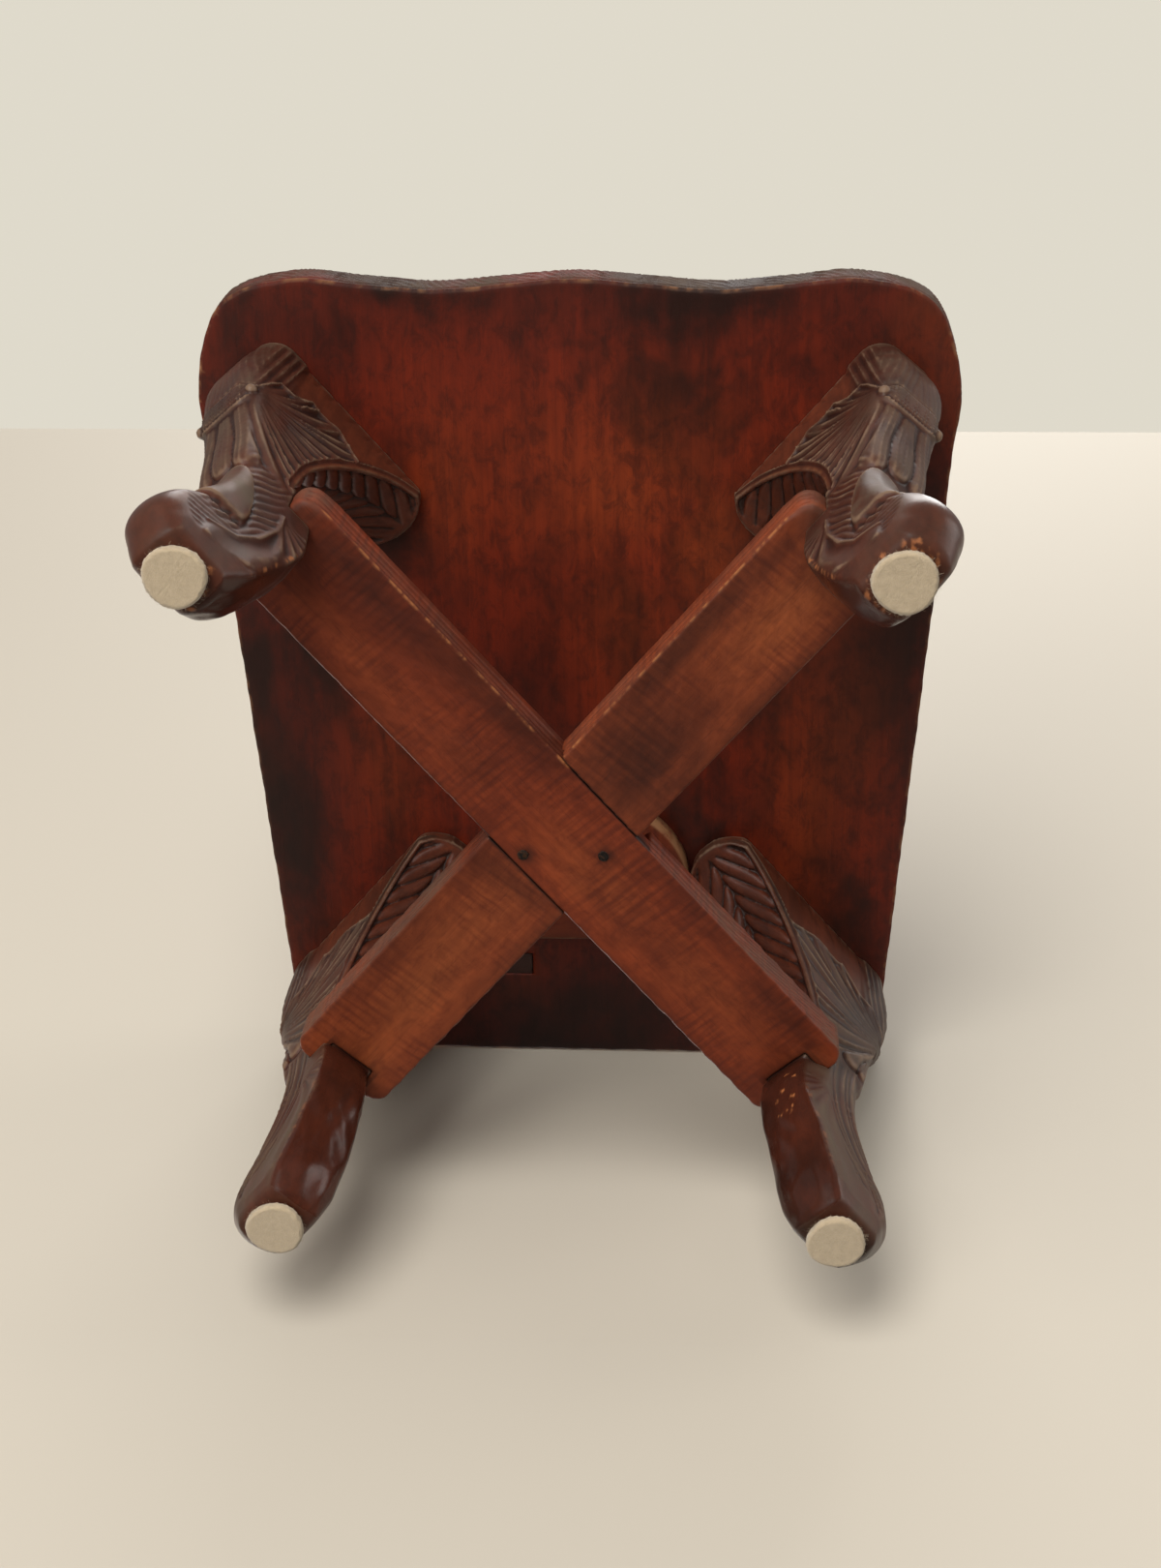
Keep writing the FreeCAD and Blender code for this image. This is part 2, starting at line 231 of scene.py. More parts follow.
def makePiece(name, points, faces, material, marks=None):
    mesh = bpy.data.meshes.new(name)
    mesh.from_pydata((np.asarray(points) * mm).tolist(), [], [list(f) for f in faces])
    for label, values in (marks or {}).items():
        mesh.attributes.new(label, "FLOAT", "POINT").data.foreach_set("value", np.asarray(values, np.float32))
    mesh.shade_smooth()
    mesh.materials.append(material)
    return addObject(name, mesh)


def dress(piece, slotName, *nodes):
    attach(piece, "root")
    if nodes:
        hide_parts(*nodes)


def onDiagonal(points, sx, sy):  # out along a corner's diagonal, across it, and up
    outX, outY = sx * math.sin(crossAngle), sy * math.cos(crossAngle)
    t, v, z = np.asarray(points).T
    return np.stack([t * outX - v * outY, crossY + t * outY + v * outX, z], 1)


# materials

still = (0, 0, 0)


class Nodes:  # short hand for building a node tree
    def __init__(self, tree):
        self.tree = tree

    def add(self, kind, inputs=None, **settings):
        node = self.tree.nodes.new(kind)
        for key, value in settings.items():
            setattr(node, key, value)
        return self.fill(node, inputs or {})

    def fill(self, node, inputs):
        for key, value in inputs.items():
            self.put(node.inputs[key], value)
        return node

    def put(self, socket, value):
        if isinstance(value, bpy.types.NodeSocket):
            self.tree.links.new(value, socket)
        elif isinstance(value, bpy.types.Node):
            self.tree.links.new(value.outputs[0], socket)
        else:
            socket.default_value = value

    def maths(self, operation, a, b=0.0, clamp=False):
        return self.add("ShaderNodeMath", {0: a, 1: b}, operation=operation, use_clamp=clamp).outputs[0]

    def times(self, a, b):
        return self.maths("MULTIPLY", a, b)

    def plus(self, a, b, clamp=False):
        return self.maths("ADD", a, b, clamp)

    def minus(self, a, b, clamp=False):
        return self.maths("SUBTRACT", a, b, clamp)

    def ramp(self, value, low, high):
        inputs = {"Value": value, "From Min": low, "From Max": high}
        return self.add("ShaderNodeMapRange", inputs, interpolation_type="SMOOTHSTEP").outputs["Result"]

    def blend(self, factor, a, b):  # sockets 0, 6 and 7 are the factor and the two colours
        return self.add("ShaderNodeMix", {0: factor, 6: a, 7: b}, data_type="RGBA").outputs[2]

    def noise(self, scale, turn, detail, roughness=0.55, distortion=0.0):
        inputs = {"Vector": self.stretched(scale, turn), "Scale": 1.0, "Detail": detail}
        inputs.update({"Roughness": roughness, "Distortion": distortion})
        return self.add("ShaderNodeTexNoise", inputs).outputs["Fac"]

    def stretched(self, scale, turn):
        where = self.add("ShaderNodeTexCoord").outputs["Object"]
        turned = self.add("ShaderNodeMapping", {"Vector": where, "Rotation": turn})
        return self.add("ShaderNodeMapping", {"Vector": turned, "Scale": scale}).outputs[0]

    def mark(self, label):
        return self.add("ShaderNodeAttribute", attribute_name=label).outputs["Fac"]


def newMaterial(name):
    material = bpy.data.materials.new(name)
    material.use_nodes = True
    nodes = Nodes(material.node_tree)
    shader = material.node_tree.nodes["Principled BSDF"]
    return material, nodes, shader


def rgb(*values):
    return (*values, 1.0)


def oldWood(name, spec):
    material, n, shader = newMaterial(name)
    turn = spec["grainTurn"]
    grain = n.noise((6, 210, 210), turn, 6.0, 0.62, 0.35)  # long fibres, grain runs along turned X
    pores = n.noise((45, 1500, 1500), turn, 2.0, 0.5)
    clouds = n.noise((5.5, 9, 9), turn, 4.0, 0.62, 0.6)  # stains and old finish
    blots = n.noise((24, 32, 32), turn, 4.0, 0.62, 0.4)
    stain = n.plus(n.times(clouds, 0.7), n.times(blots, 0.3))
    colour = n.blend(n.ramp(stain, *spec["stainRange"]), spec["dark"], spec["main"])
    glow = n.ramp(n.noise((4.2, 6.5, 6.5), turn, 3.0, 0.5), *spec["glowRange"])
    glow = n.plus(n.times(glow, spec["glowAmount"]), n.times(n.mark("warm"), blots), True)
    colour = n.blend(glow, colour, spec["glow"])
    mottle = n.ramp(n.noise((72, 115, 115), turn, 6.0, 0.74, 0.5), 0.42, 0.68)  # small streaks in the finish
    thin = n.minus(1.0, n.ramp(grain, 0.30, 0.72))
    pitted = n.ramp(pores, 0.60, 0.72)
    # coats of colour in order: mask, strength and tone
    coats = [(mottle, "mottle", "dark"), (thin, "grainAmount", "dark"), (pitted, "poreAmount", "pore")]
    if spec["curl"]:  # ripple across the grain
        ripple = n.noise((270, 34, 34), turn, 2.0, 0.5, 0.5)
        wave = {"Vector": n.stretched((1, 0.3, 0.3), turn), "Scale": 64.0, "Distortion": 5.0}
        wave.update({"Detail": 2.0, "Detail Scale": 1.1})
        stripes = n.add("ShaderNodeTexWave", wave, wave_type="BANDS", bands_direction="X").outputs["Fac"]
        patch = n.ramp(n.noise((13, 19, 19), turn, 2.0), 0.38, 0.58)
        ripple = n.plus(n.times(n.ramp(ripple, 0.42, 0.62), 0.6), n.times(n.ramp(stripes, 0.25, 0.95), 0.4), True)
        coats.append((n.times(ripple, patch), "curl", "curlTone"))
    carve = n.mark("carve")
    rub = n.noise((90, 90, 90), still, 4.0, 0.7)
    film = n.ramp(n.noise((34, 34, 34), still, 5.0, 0.65), 0.25, 0.72)
    # grey film: partly real dust, partly painted sheen
    dustAndSheenMask = n.times(n.times(n.mark("dustAndSheen"), film), n.ramp(carve, *spec["dustAndSheenRange"]))
    # hollows of the carving darkened: partly real grime, partly painted shade
    grimeAndShade = n.ramp(n.times(carve, -1.0), *spec["grimeAndShadeRange"])
    # raised carving lightened: partly real wear, partly painted highlight on the ridges
    worn = n.plus(carve, n.times(n.minus(rub, 0.5), spec["wornAndHighlightBreak"]))
    coats += [(dustAndSheenMask, "dustAndSheenAmount", "dustAndSheenTone"), (grimeAndShade, "grimeAndShadeAmount", "grimeAndShadeTone")]
    coats.append((n.ramp(worn, *spec["wornAndHighlightRange"]), "wornAndHighlightAmount", "wornAndHighlightTone"))
    for mask, amount, tone in coats:
        colour = n.blend(n.times(mask, spec[amount]), colour, spec[tone])
    bare = n.times(n.mark("bare"), n.ramp(rub, 0.34, 0.56))
    colour = n.blend(bare, colour, spec["bareTone"])
    # darkened by the stain-and-shade mark: real stains and painted shade
    colour = n.blend(n.times(n.mark("soot"), n.ramp(blots, 0.1, 0.55)), colour, spec["grimeAndShadeTone"])
    rough = n.plus(spec["rough"], n.times(n.minus(clouds, 0.5), 0.3))
    rough = n.plus(rough, n.times(n.plus(dustAndSheenMask, bare), 0.2))
    rough = n.minus(rough, n.times(n.mark("gloss"), 0.17), True)
    lift = n.plus(n.times(grain, 0.6), n.times(rub, 0.5))
    lift = n.minus(lift, n.times(n.ramp(pores, 0.58, 0.74), 1.6 * spec["poreAmount"]))
    bump = n.add("ShaderNodeBump", {"Height": lift, "Strength": spec["bump"], "Distance": 0.0006})
    n.fill(shader, {"Base Color": colour, "Roughness": rough, "Specular IOR Level": spec["shine"], "Normal": bump})
    return material


upright = (0, math.pi / 2, 0)
frontBack = (0, 0, math.pi / 2)
alongThrough = (0, 0, crossAngle - math.pi / 2)
alongLapped = (0, 0, math.pi / 2 - crossAngle)
baseWood = {
    "grainTurn": upright, "dark": rgb(0.022, 0.006, 0.004), "main": rgb(0.116, 0.012, 0.0038),
    "glow": rgb(0.240, 0.037, 0.008), "stainRange": (0.38, 0.56), "glowRange": (0.54, 0.74), "glowAmount": 0.35,
    "grainAmount": 0.40, "poreAmount": 0.16, "pore": rgb(0.012, 0.004, 0.003), "mottle": 0.15, "curl": 0.0,
    "dustAndSheenAmount": 0.0, "dustAndSheenTone": rgb(0.118, 0.080, 0.054), "dustAndSheenRange": (-0.30, 0.10),
    "grimeAndShadeRange": (0.08, 0.50), "grimeAndShadeAmount": 0.9, "grimeAndShadeTone": rgb(0.010, 0.005, 0.004),
    "wornAndHighlightRange": (0.40, 0.85), "wornAndHighlightBreak": 0.6, "wornAndHighlightAmount": 0.35, "wornAndHighlightTone": rgb(0.170, 0.060, 0.025),
    "bareTone": rgb(0.430, 0.150, 0.050), "rough": 0.46, "shine": 0.22, "bump": 0.25,
}
seatWood = oldWood("seat_oiled_red_wood", {
    **baseWood, "grainTurn": frontBack, "main": rgb(0.164, 0.0160, 0.0046), "stainRange": (0.40, 0.58),
    "glowAmount": 0.55, "grainAmount": 0.32, "mottle": 0.55, "bareTone": rgb(0.330, 0.150, 0.068),
    "dustAndSheenAmount": 0.95, "dustAndSheenTone": rgb(0.076, 0.043, 0.025), "dustAndSheenRange": (-0.5, 0.1)})
# on the legs the dust tone is partly painted sheen, the worn tone partly painted highlight and the grime tone partly
# painted shade
legWood = oldWood("leg_carved_dusty_wood", {
    **baseWood, "main": rgb(0.080, 0.018, 0.0085), "dark": rgb(0.026, 0.008, 0.005),
    "glow": rgb(0.165, 0.036, 0.014), "poreAmount": 0.08, "mottle": 0.4,
    "dustAndSheenAmount": 0.85, "dustAndSheenTone": rgb(0.098, 0.064, 0.040),
    "wornAndHighlightRange": (0.16, 0.55), "wornAndHighlightAmount": 0.75, "wornAndHighlightTone": rgb(0.200, 0.122, 0.076),
    "grimeAndShadeRange": (0.03, 0.40), "grimeAndShadeAmount": 0.85, "grimeAndShadeTone": rgb(0.020, 0.008, 0.006),
    "rough": 0.45, "shine": 0.30, "bump": 0.3})
backWood = oldWood("back_carved_red_wood", {
    **baseWood, "main": rgb(0.094, 0.020, 0.009), "dustAndSheenAmount": 0.45, "shine": 0.32, "wornAndHighlightRange": (0.30, 0.80),
    "wornAndHighlightAmount": 0.5, "bump": 0.3})
boardWood = {
    **baseWood, "main": rgb(0.236, 0.037, 0.0105), "dark": rgb(0.074, 0.012, 0.005), "glow": rgb(0.275, 0.066, 0.018),
    "stainRange": (0.34, 0.56), "grainAmount": 0.36, "poreAmount": 0.2, "mottle": 0.45,
    "curl": 0.62, "curlTone": rgb(0.070, 0.012, 0.006), "bareTone": rgb(0.360, 0.125, 0.042),
    "dustAndSheenAmount": 0.7, "rough": 0.5}
throughWood = oldWood("stretcher_curly_wood", {**boardWood, "grainTurn": alongThrough})
lappedWood = oldWood("stretcher_curly_wood_lapped", {
    **boardWood, "grainTurn": alongLapped, "main": rgb(0.256, 0.049, 0.0145), "dark": rgb(0.082, 0.015, 0.006),
    "glow": rgb(0.345, 0.090, 0.025), "curl": 0.5})
cleatWood = oldWood("cleat_brown_wood", {**boardWood, "grainTurn": still, "bareTone": rgb(0.330, 0.165, 0.075)})
rawWood = oldWood("raw_pale_wood", {
    **baseWood, "grainTurn": still, "main": rgb(0.330, 0.150, 0.062), "dark": rgb(0.190, 0.080, 0.032),
    "glow": rgb(0.400, 0.190, 0.082), "pore": rgb(0.10, 0.04, 0.02), "wornAndHighlightTone": rgb(0.5, 0.26, 0.12), "rough": 0.6})

ironStyle = {"clean": rgb(0.020, 0.017, 0.016), "rust": rgb(0.070, 0.030, 0.014), "rough": 0.38, "metal": 0.75}


def darkIron():
    material, n, shader = newMaterial("nail_dark_iron")
    s = ironStyle
    rust = n.ramp(n.noise((420, 420, 420), still, 5.0, 0.65), 0.42, 0.62)
    bump = n.add("ShaderNodeBump", {"Height": rust, "Strength": 0.5, "Distance": 0.0004})
    rough = n.plus(s["rough"], n.times(rust, 0.4))
    colour = n.blend(rust, s["clean"], s["rust"])
    n.fill(shader, {"Base Color": colour, "Roughness": rough, "Metallic": s["metal"], "Normal": bump})
    return material


feltStyle = {
    "dark": rgb(0.490, 0.375, 0.240), "light": rgb(0.570, 0.445, 0.290), "pile": rgb(0.640, 0.530, 0.380),
    "rough": 0.95, "shine": 0.15, "sheen": 0.35,
}


def pressedFelt():
    material, n, shader = newMaterial("pad_pressed_felt")
    s = feltStyle
    tangle = n.noise((900, 900, 900), still, 5.0, 0.7, 2.2)
    mottle = n.noise((320, 320, 320), still, 4.0, 0.6)
    colour = n.blend(n.ramp(mottle, 0.3, 0.7), s["dark"], s["light"])
    colour = n.blend(n.times(n.ramp(tangle, 0.35, 0.7), 0.45), colour, s["pile"])
    bump = n.add("ShaderNodeBump", {"Height": tangle, "Strength": 0.8, "Distance": 0.0009})
    n.fill(shader, {"Base Color": colour, "Roughness": s["rough"], "Normal": bump})
    n.fill(shader, {"Specular IOR Level": s["shine"], "Sheen Weight": s["sheen"]})
    return material


nailIron = darkIron()
padFelt = pressedFelt()
print("materials made")


# flat stretchers lie along the diagonals: t out from the crossing to the front foot, v across

boardStyle = {
    "half": 28.0, "tongue": 13.0, "ear": 15.0, "corner": 9.0, "clear": 0.15, "arris": 1.2, "voxel": (1.4, 0.7, 0.65),
    "reeds": (3.6, 8.5, 14.5), "reedDepth": 1.1, "wander": 0.5, "stain": 5.0,
}


def boardEnds():  # where the boards meet the ankles, front and rear
    return frontReach + legStyle["front"]["ankle"], rearReach + legStyle["rear"]["ankle"]


def boardPlan(t, v):  # distance to a board's outline, with rounded ears either side of each ankle
    s = boardStyle
    frontEnd, rearEnd = boardEnds()
    centre, reach = (frontEnd - rearEnd) / 2, (frontEnd + rearEnd) / 2 + s["ear"]
    slab = roundMeet(np.abs(t - centre) - reach, np.abs(v) - s["half"], s["corner"])
    notch = np.maximum(np.abs(v) - s["tongue"], np.minimum(frontEnd - t, t + rearEnd))
    return np.maximum(slab, -notch)


# carved legs, worked in the plane of each diagonal: t out from the pad, v across, z up

legStyle = {
    "front": {
        "ankle": -40.0, "knee": 34.0, "tip": -95.0, "arch": -23.0, "capCut": 7.0, "flutes": 17, "fanEnd": 258,
        "leanIn": 0.0, "belly": (1.0, 2.5, 4.5), "buttonRadius": 3.3, "petals": [], "skirtDepth": 1.9, "skirtFlare": 1.4,
        "panel": [(-47, 104), (-45, 75), (-41, 52), (-36, 38), (-28, 29), (-20, 24), (-7, 20), (5, 18.5), (12, 21),
                  (17, 29), (19.5, 40), (19, 52), (24, 62)],
        "fanDustAndSheen": 0.45, "ankleDustAndSheen": 0.45, "heelGloss": 0.3, "skirtBare": 0.8, "heelShade": 0.45},
    "rear": {
        "ankle": -35.0, "knee": 44.0, "tip": -102.0, "arch": -31.0, "capCut": 5.0, "flutes": 12, "fanEnd": 236,
        "leanIn": 6.0, "belly": (1.5, 3.0, 5.0), "buttonRadius": 0.0, "petals": [(-5, 137), (8, 134), (20, 133)],
        "skirtDepth": 0.9, "skirtFlare": 0.0,
        "panel": [(-42, 104), (-40, 75), (-36, 52), (-31, 36), (-26, 26), (-18, 20), (-7, 17), (5, 17), (12, 20),
                  (17, 28), (19.5, 40), (19, 52), (24, 62)],
        "fanDustAndSheen": 0.7, "ankleDustAndSheen": 1.15, "heelGloss": 1.6, "skirtBare": 0.25, "heelShade": 0.15},
    "tipEdge": 7.0, "noseRadius": 26.0, "sole": 17.0, "toe": 29.0, "toeHeight": 30.0, "heelBulge": 4.0,
    "ankleRise": 6.0, "fanStart": 112, "knot": (15.0, 98.0), "skirtSpan": (166, 292), "instep": 86,
    "hem": [(0, 0), (-0.5, -16), (6, -39), (15.5, -57), (30, -66)],  # from the knot
    "halfWidths": [(4.5, 16.6), (14, 17.0), (30, 17.0), (70, 16.4), (113, 17.4), (136, 17.6), (195, 20.0), (263, 21.8)],
    "footFall": 0.22, "soleRound": 4.5, "buttonIn": 14.0, "buttonHeight": 187.0, "fluteDepth": 2.9,
    "veinRun": [(0.0, 189), (0.15, 214), (0.29, 216), (0.45, 229), (0.52, 226), (0.76, 228), (0.90, 221), (1.0, 217)],
    "tongues": [(0.5, 123, 4.0), (12.6, 119, 3.6)], "tongueHalf": 6.2,
    "lobePitch": 13.0, "lobeLean": 1.4, "lobeHeight": 2.9, "scoop": 3.2, "voxel": (0.95, 0.9, 0.95),
}


def legProfile(style):
    tip, arch, ankle, knee = (style[k] for k in ("tip", "arch", "ankle", "knee"))
    archTop = seatUnder - legStyle["tipEdge"]
    run, drop = arch - tip, archTop - boardHigh
    sole, toe, toeHigh = legStyle["sole"], legStyle["toe"], legStyle["toeHeight"]
    ease = [(0.33, 0.12), (0.62, 0.33), (0.84, 0.57), (0.96, 0.78), (1, 1)]
    archLine = curvePoints([(tip, archTop)] + [(tip + run * a, archTop - drop * b) for a, b in ease], 9)
    heelTop = boardLow - 0.2
    back = -sole - ankle
    heelLine = curvePoints([
        (ankle, heelTop), (ankle - legStyle["heelBulge"], heelTop * 0.78), (ankle + back * 0.14, heelTop * 0.45),
        (ankle + back * 0.53, heelTop * 0.19), (-sole, padThickness)], 8)
    shinLine = curvePoints([
        (sole, padThickness), (toe, toeHigh * 0.75), (toe * 0.92, toeHigh * 1.35), (toe * 0.45, toeHigh * 2.0),
        (knee * 0.10, boardLow * 0.86), (knee * 0.28, boardHigh + legStyle["ankleRise"]), (knee * 0.70, seatUnder * 0.72),
        (knee * 0.98, seatUnder * 0.90), (knee, seatUnder)], 8)
    step = np.array([(arch, boardHigh), (ankle, boardHigh)])
    above = seatUnder + 40  # runs on past the seat, which trims it square
    ends = [("tip", np.array([(tip, above)])), ("top", np.array([(knee, above)]))]
    return [ends[0], ("arch", archLine), ("step", step), ("heel", heelLine), ("shin", shinLine), ends[1]]


def makeLeg(kind):
    style = legStyle[kind]
    sections = legProfile(style)
    line = np.vstack([part for _, part in sections])
    lengths = np.concatenate([[0], np.cumsum(np.linalg.norm(np.diff(line, axis=0), axis=1))])
    spans, count = {}, 0
    for label, part in sections:
        spans[label] = (lengths[count], lengths[count + len(part) - 1])
        count += len(part)
    (archFrom, archTo), (heelFrom, heelTo), (shinFrom, shinTo) = spans["arch"], spans["heel"], spans["shin"]
    shin, arch = sections[4][1], sections[1][1]
    order = np.argsort(shin[:, 1])
    shinZ, shinT = shin[order, 1], shin[order, 0]
    widths = curvePoints(legStyle["halfWidths"], 12)
    belly = style["belly"]
    rounds = np.array([  # along the outline: arris radius, and how far the face falls away towards its sides
        (archFrom, 1.5, 0), (archTo, 1.5, 0), (heelFrom, 1.6, belly[0]), (heelFrom + 25, 1.5, belly[1]),
        (heelTo - 18, 1.8, belly[2]), (heelTo, 2.4, 4.4), (shinFrom, 2.8, 4.4), (shinFrom + 14, 4.5, 8.0),
        (shinFrom + 40, 5.0, 6.0), (shinFrom + 64, 3.6, 1.5), (shinFrom + 105, 6.0, 0.5), (shinFrom + 150, 8.0, 0),
        (shinFrom + 200, 11.0, 0), (shinTo, 14.0, 0)])
    bt, bz = style["knee"] - legStyle["buttonIn"], legStyle["buttonHeight"]
    veinEnd = np.interp(legStyle["veinRun"][-1][1], arch[::-1, 1], arch[::-1, 0]) + 5
    vein = np.array([(bt + (veinEnd - bt) * share, height) for share, height in legStyle["veinRun"]])
    kt, kz = style["ankle"] + legStyle["knot"][0], legStyle["knot"][1]  # knot behind the ankle
    hem = np.array([(kt + a, kz + b) for a, b in legStyle["hem"]])
    fanFrom, (skirtFrom, skirtTo), instep = legStyle["fanStart"], legStyle["skirtSpan"], legStyle["instep"]
    panel = np.array(style["panel"] + [(70, 62), (70, 300), (-140, 300), (-140, 104)])  # carved part of the flank
    heel = sections[3][1][::-1]

    def shape(t, v, z):
        d, along = outlineDistance(line, t, z)
        offPanel = np.maximum(0, outlineDistance(panel, t, z)[0])
        half = np.interp(z, widths[:, 0], widths[:, 1]) - legStyle["footFall"] * offPanel
        nearHeel = 1 - soft(0, 17, t - np.interp(z, heel[:, 1], heel[:, 0]))
        half = half - style["leanIn"] * (v < 0) * soft(45, 106, z) * nearHeel * (z < boardLow)
        fromNose = np.clip(style["tip"] + legStyle["noseRadius"] - t, 0, legStyle["noseRadius"])
        half = np.minimum(half, np.sqrt(legStyle["noseRadius"] ** 2 - fromNose ** 2))
        share = np.clip(np.abs(v) / np.maximum(half, 1), 0, 1.15)
        d = d + np.interp(along, rounds[:, 0], rounds[:, 2]) * (0.6 * share ** 2 + 0.4 * share ** 4)
        d = d + style["capCut"] * soft(214, 262, z) * np.interp(along, [shinFrom + 150, shinFrom + 190], [0, 1])
        return d, along, half, np.abs(v) - half

    def housing(t, v, z):  # room for the stretcher's two ears
        slab = np.maximum(boardLow - 0.2 - z, z - boardHigh - 0.2)
        place = t + frontReach if kind == "front" else -t - rearReach
        return np.maximum(slab, boardPlan(place, v) - 0.2)

    def rough(t, v, z):
        d, _, _, side = shape(t, v, z)
        return np.maximum(np.maximum(np.maximum(d, side), z - seatUnder), -housing(t, v, z))

    def zones(t, v, z):  # which part of the carving each point belongs to
        d, along, half, side = shape(t, v, z)
        flank = soft(-1.5, 3.5, side - d)
        wrap = np.abs(v) + np.maximum(0, np.interp(z, shinZ, shinT) - 7 - t)  # unrolls the outer face on to the flanks
        far = np.hypot(t - bt, z - bz)
        turn = np.degrees(np.arctan2(z - bz, t - bt)) % 360 + 10 * soft(8, 85, far)
        overVein = z - np.interp(t, vein[::-1, 0], vein[::-1, 1])
        rim = band(along, archFrom + 3, archTo + 2, 2) * (1 - soft(5.0, 6.2, -d))
        fan = flank * band(turn, fanFrom, style["fanEnd"], 2) * soft(122, 132, z) * (t < bt + 3)
        fan = fan * (1 - soft(-1.2, 0.6, overVein)) * (1 - rim)
        tip = 0.5 + 0.235 * (z - instep)
        behind, inFront = np.maximum(0, tip - t) / 8.5, np.maximum(0, 10 - wrap) / 16
        oval = behind ** 2 + ((z - instep) / 29.0) ** 2 + inFront ** 2  # smooth leaf over the instep
        toHem = t - np.interp(z, hem[::-1, 1], hem[::-1, 0])
        onPanel = soft(0.3, 1.8, -outlineDistance(panel, t, z)[0])
        spread = np.degrees(np.arctan2(z - kz, t - kt)) % 360
        behindHem = flank * band(spread, skirtFrom, skirtTo, 4) * (1 - soft(-1.5, 1.0, toHem))
        leaf = (1 - soft(0.82, 1.0, oval)) * (kind == "front")
        return {
            "d": d, "along": along, "half": half, "flank": flank, "wrap": wrap, "far": far, "turn": turn,
            "rim": rim * flank, "fan": fan, "oval": oval, "leaf": leaf, "spread": spread,
            "web": flank * soft(0.4, 2.2, overVein) * (1 - soft(bt - 20, bt - 15, t)) * (z > 150) * (1 - rim),
            "cap": flank * soft(0.6, 2.4, overVein) * band(t, bt - 17, bt + 2, 2) * band(z, bz + 6, 260, 3),
            "arch": band(along, archFrom + 2, archTo - 4, 2) * (1 - flank),
            "heel": band(along, heelFrom, heelTo, 2) * (1 - flank),
            "folds": flank * band(z, 46, 131, 4) * soft(0.5, 3, toHem) * (1 - fan) * (1 - leaf) * onPanel,
            "skirt": behindHem * band(z, 18, 110, 3) * onPanel,
            "foot": flank * (1 - soft(44, 54, z)) * soft(0.5, 3, toHem) * onPanel}

    def relief(t, v, z):
        m = zones(t, v, z)
        d, flank, wrap, far, fan, leaf, half, along = (
            m[key] for key in ("d", "flank", "wrap", "far", "fan", "leaf", "half", "along"))
        # feather fan on the flank, from the button to the plain rim of the arch
        k = (m["turn"] - fanFrom) / (style["fanEnd"] - fanFrom) * style["flutes"]
        k = k + 0.22 * np.sin(2.1 * k + 1)
        deep = np.minimum(legStyle["fluteDepth"], 0.052 * far)
        h = fan * soft(2, 7, far) * deep * (hollow(k) * (0.9 + 0.15 * np.sin(np.floor(k) * 2.4)) + 0.35)
        bead = flank * band(along, archFrom + 6, archTo + 2, 2) * swell(d + 5.3, 0.85)
        h += bead - 0.5 * flank * m["rim"] * band(d, -4.4, -1.0, 0.8)
        # plain sunk web above the vein, nicked along the seat, and the vein with its side shoots
        nick = ((t + 0.4 * z) / 11.0 + 0.3 * np.sin(t / 9)) % 1 - 0.5
        h += -1.4 * m["web"] - 0.5 * m["web"] * soft(246, 258, z) * swell(nick, 0.10)
        thin = lineDistance(vein, t, z)
        for bend, share in ((3, 0.20), (5, 0.28)):
            tail = vein[bend] + share * (np.array([bt, bz]) - vein[bend]) + np.array([-2.0, -6.0])
            thin = np.minimum(thin, lineDistance(np.array([vein[bend + 1 if bend == 3 else bend], tail]), t, z) + 0.35)
        h += flank * (1 - m["rim"]) * 1.5 * swell(thin, 1.05)
        h += m["cap"] * 1.3 * (hollow((t + 0.10 * (z - 200)) / 5.0) + 0.4)
        # hatched collar round the knee, narrowing to the button, with cut border lines, and fine lines above it
        outer = soft(bt - 3, bt + 1, t)
        up = z - (bz - 0.22 * (t - bt))
        tall = 9.5 - 5.0 * soft(10, 19, wrap)
        h += outer * band(up, -tall, tall, 0.9) * (1.0 + 0.65 * np.sin(1.5 * (up + wrap)) * np.sin(1.5 * (up - wrap)))
        for edge in (-tall - 1.2, -tall + 2.8, tall + 1.2):
            h += -1.3 * outer * swell(up - edge, 0.9)
        h += outer * (1 - m["cap"]) * band(up, 12, 70, 2) * 0.25 * np.cos(2 * np.pi * (wrap + 0.12 * up) / 3.6)
        # long leaves hanging below the collar, narrow at the top and rounded at the tip
        size, hang = legStyle["tongueHalf"], np.zeros(t.shape)
        ground = (1 - fan) * soft(108, 112, z) * (1 - soft(-tall - 2.5, -tall - 0.5, up))
        ground = ground * soft(bt - 26, bt - 20, t) * (1 - leaf)
        for centre, low, lift in legStyle["tongues"]:
            wide = size * (1 - 0.40 * soft(low + 12, low + 62, z))
            q = wrap - centre * (1 - 0.10 * soft(low, low + 55, z)) - 1.0 * np.sin((z - low) / 13)
            tipRound = np.minimum(0, z - low - 9.0) * size / 9.0
            body = dome(np.hypot(q, tipRound), wide) ** 0.75
            rise = lift - 0.8 * lift * soft(low + 14, bz - 8, z) + 0.30 * np.cos(2 * np.pi * q / 2.9)
            hang = np.maximum(hang, body * rise)
        h += ground * (hang - 1.3)
        for tip in style["petals"]:  # on the rear legs three more curl on to the flank
            axis = np.array(tip) - (bt, bz)
            run = np.hypot(*axis)
            s = ((t - bt) * axis[0] + (z - bz) * axis[1]) / run
            q = ((t - bt) * axis[1] - (z - bz) * axis[0]) / run
            wide = 1.2 + 5.0 * soft(0.2 * run, 0.85 * run, s)
            inside = np.hypot(q, np.maximum(0, s - run + 6.0)) / wide
            petal = 2.4 * np.clip(1 - inside ** 2, 0, 1) ** 0.5 - 1.0 * swell(inside - 1.1, 0.14)
            h += flank * (1 - fan) * (s > 4) * petal
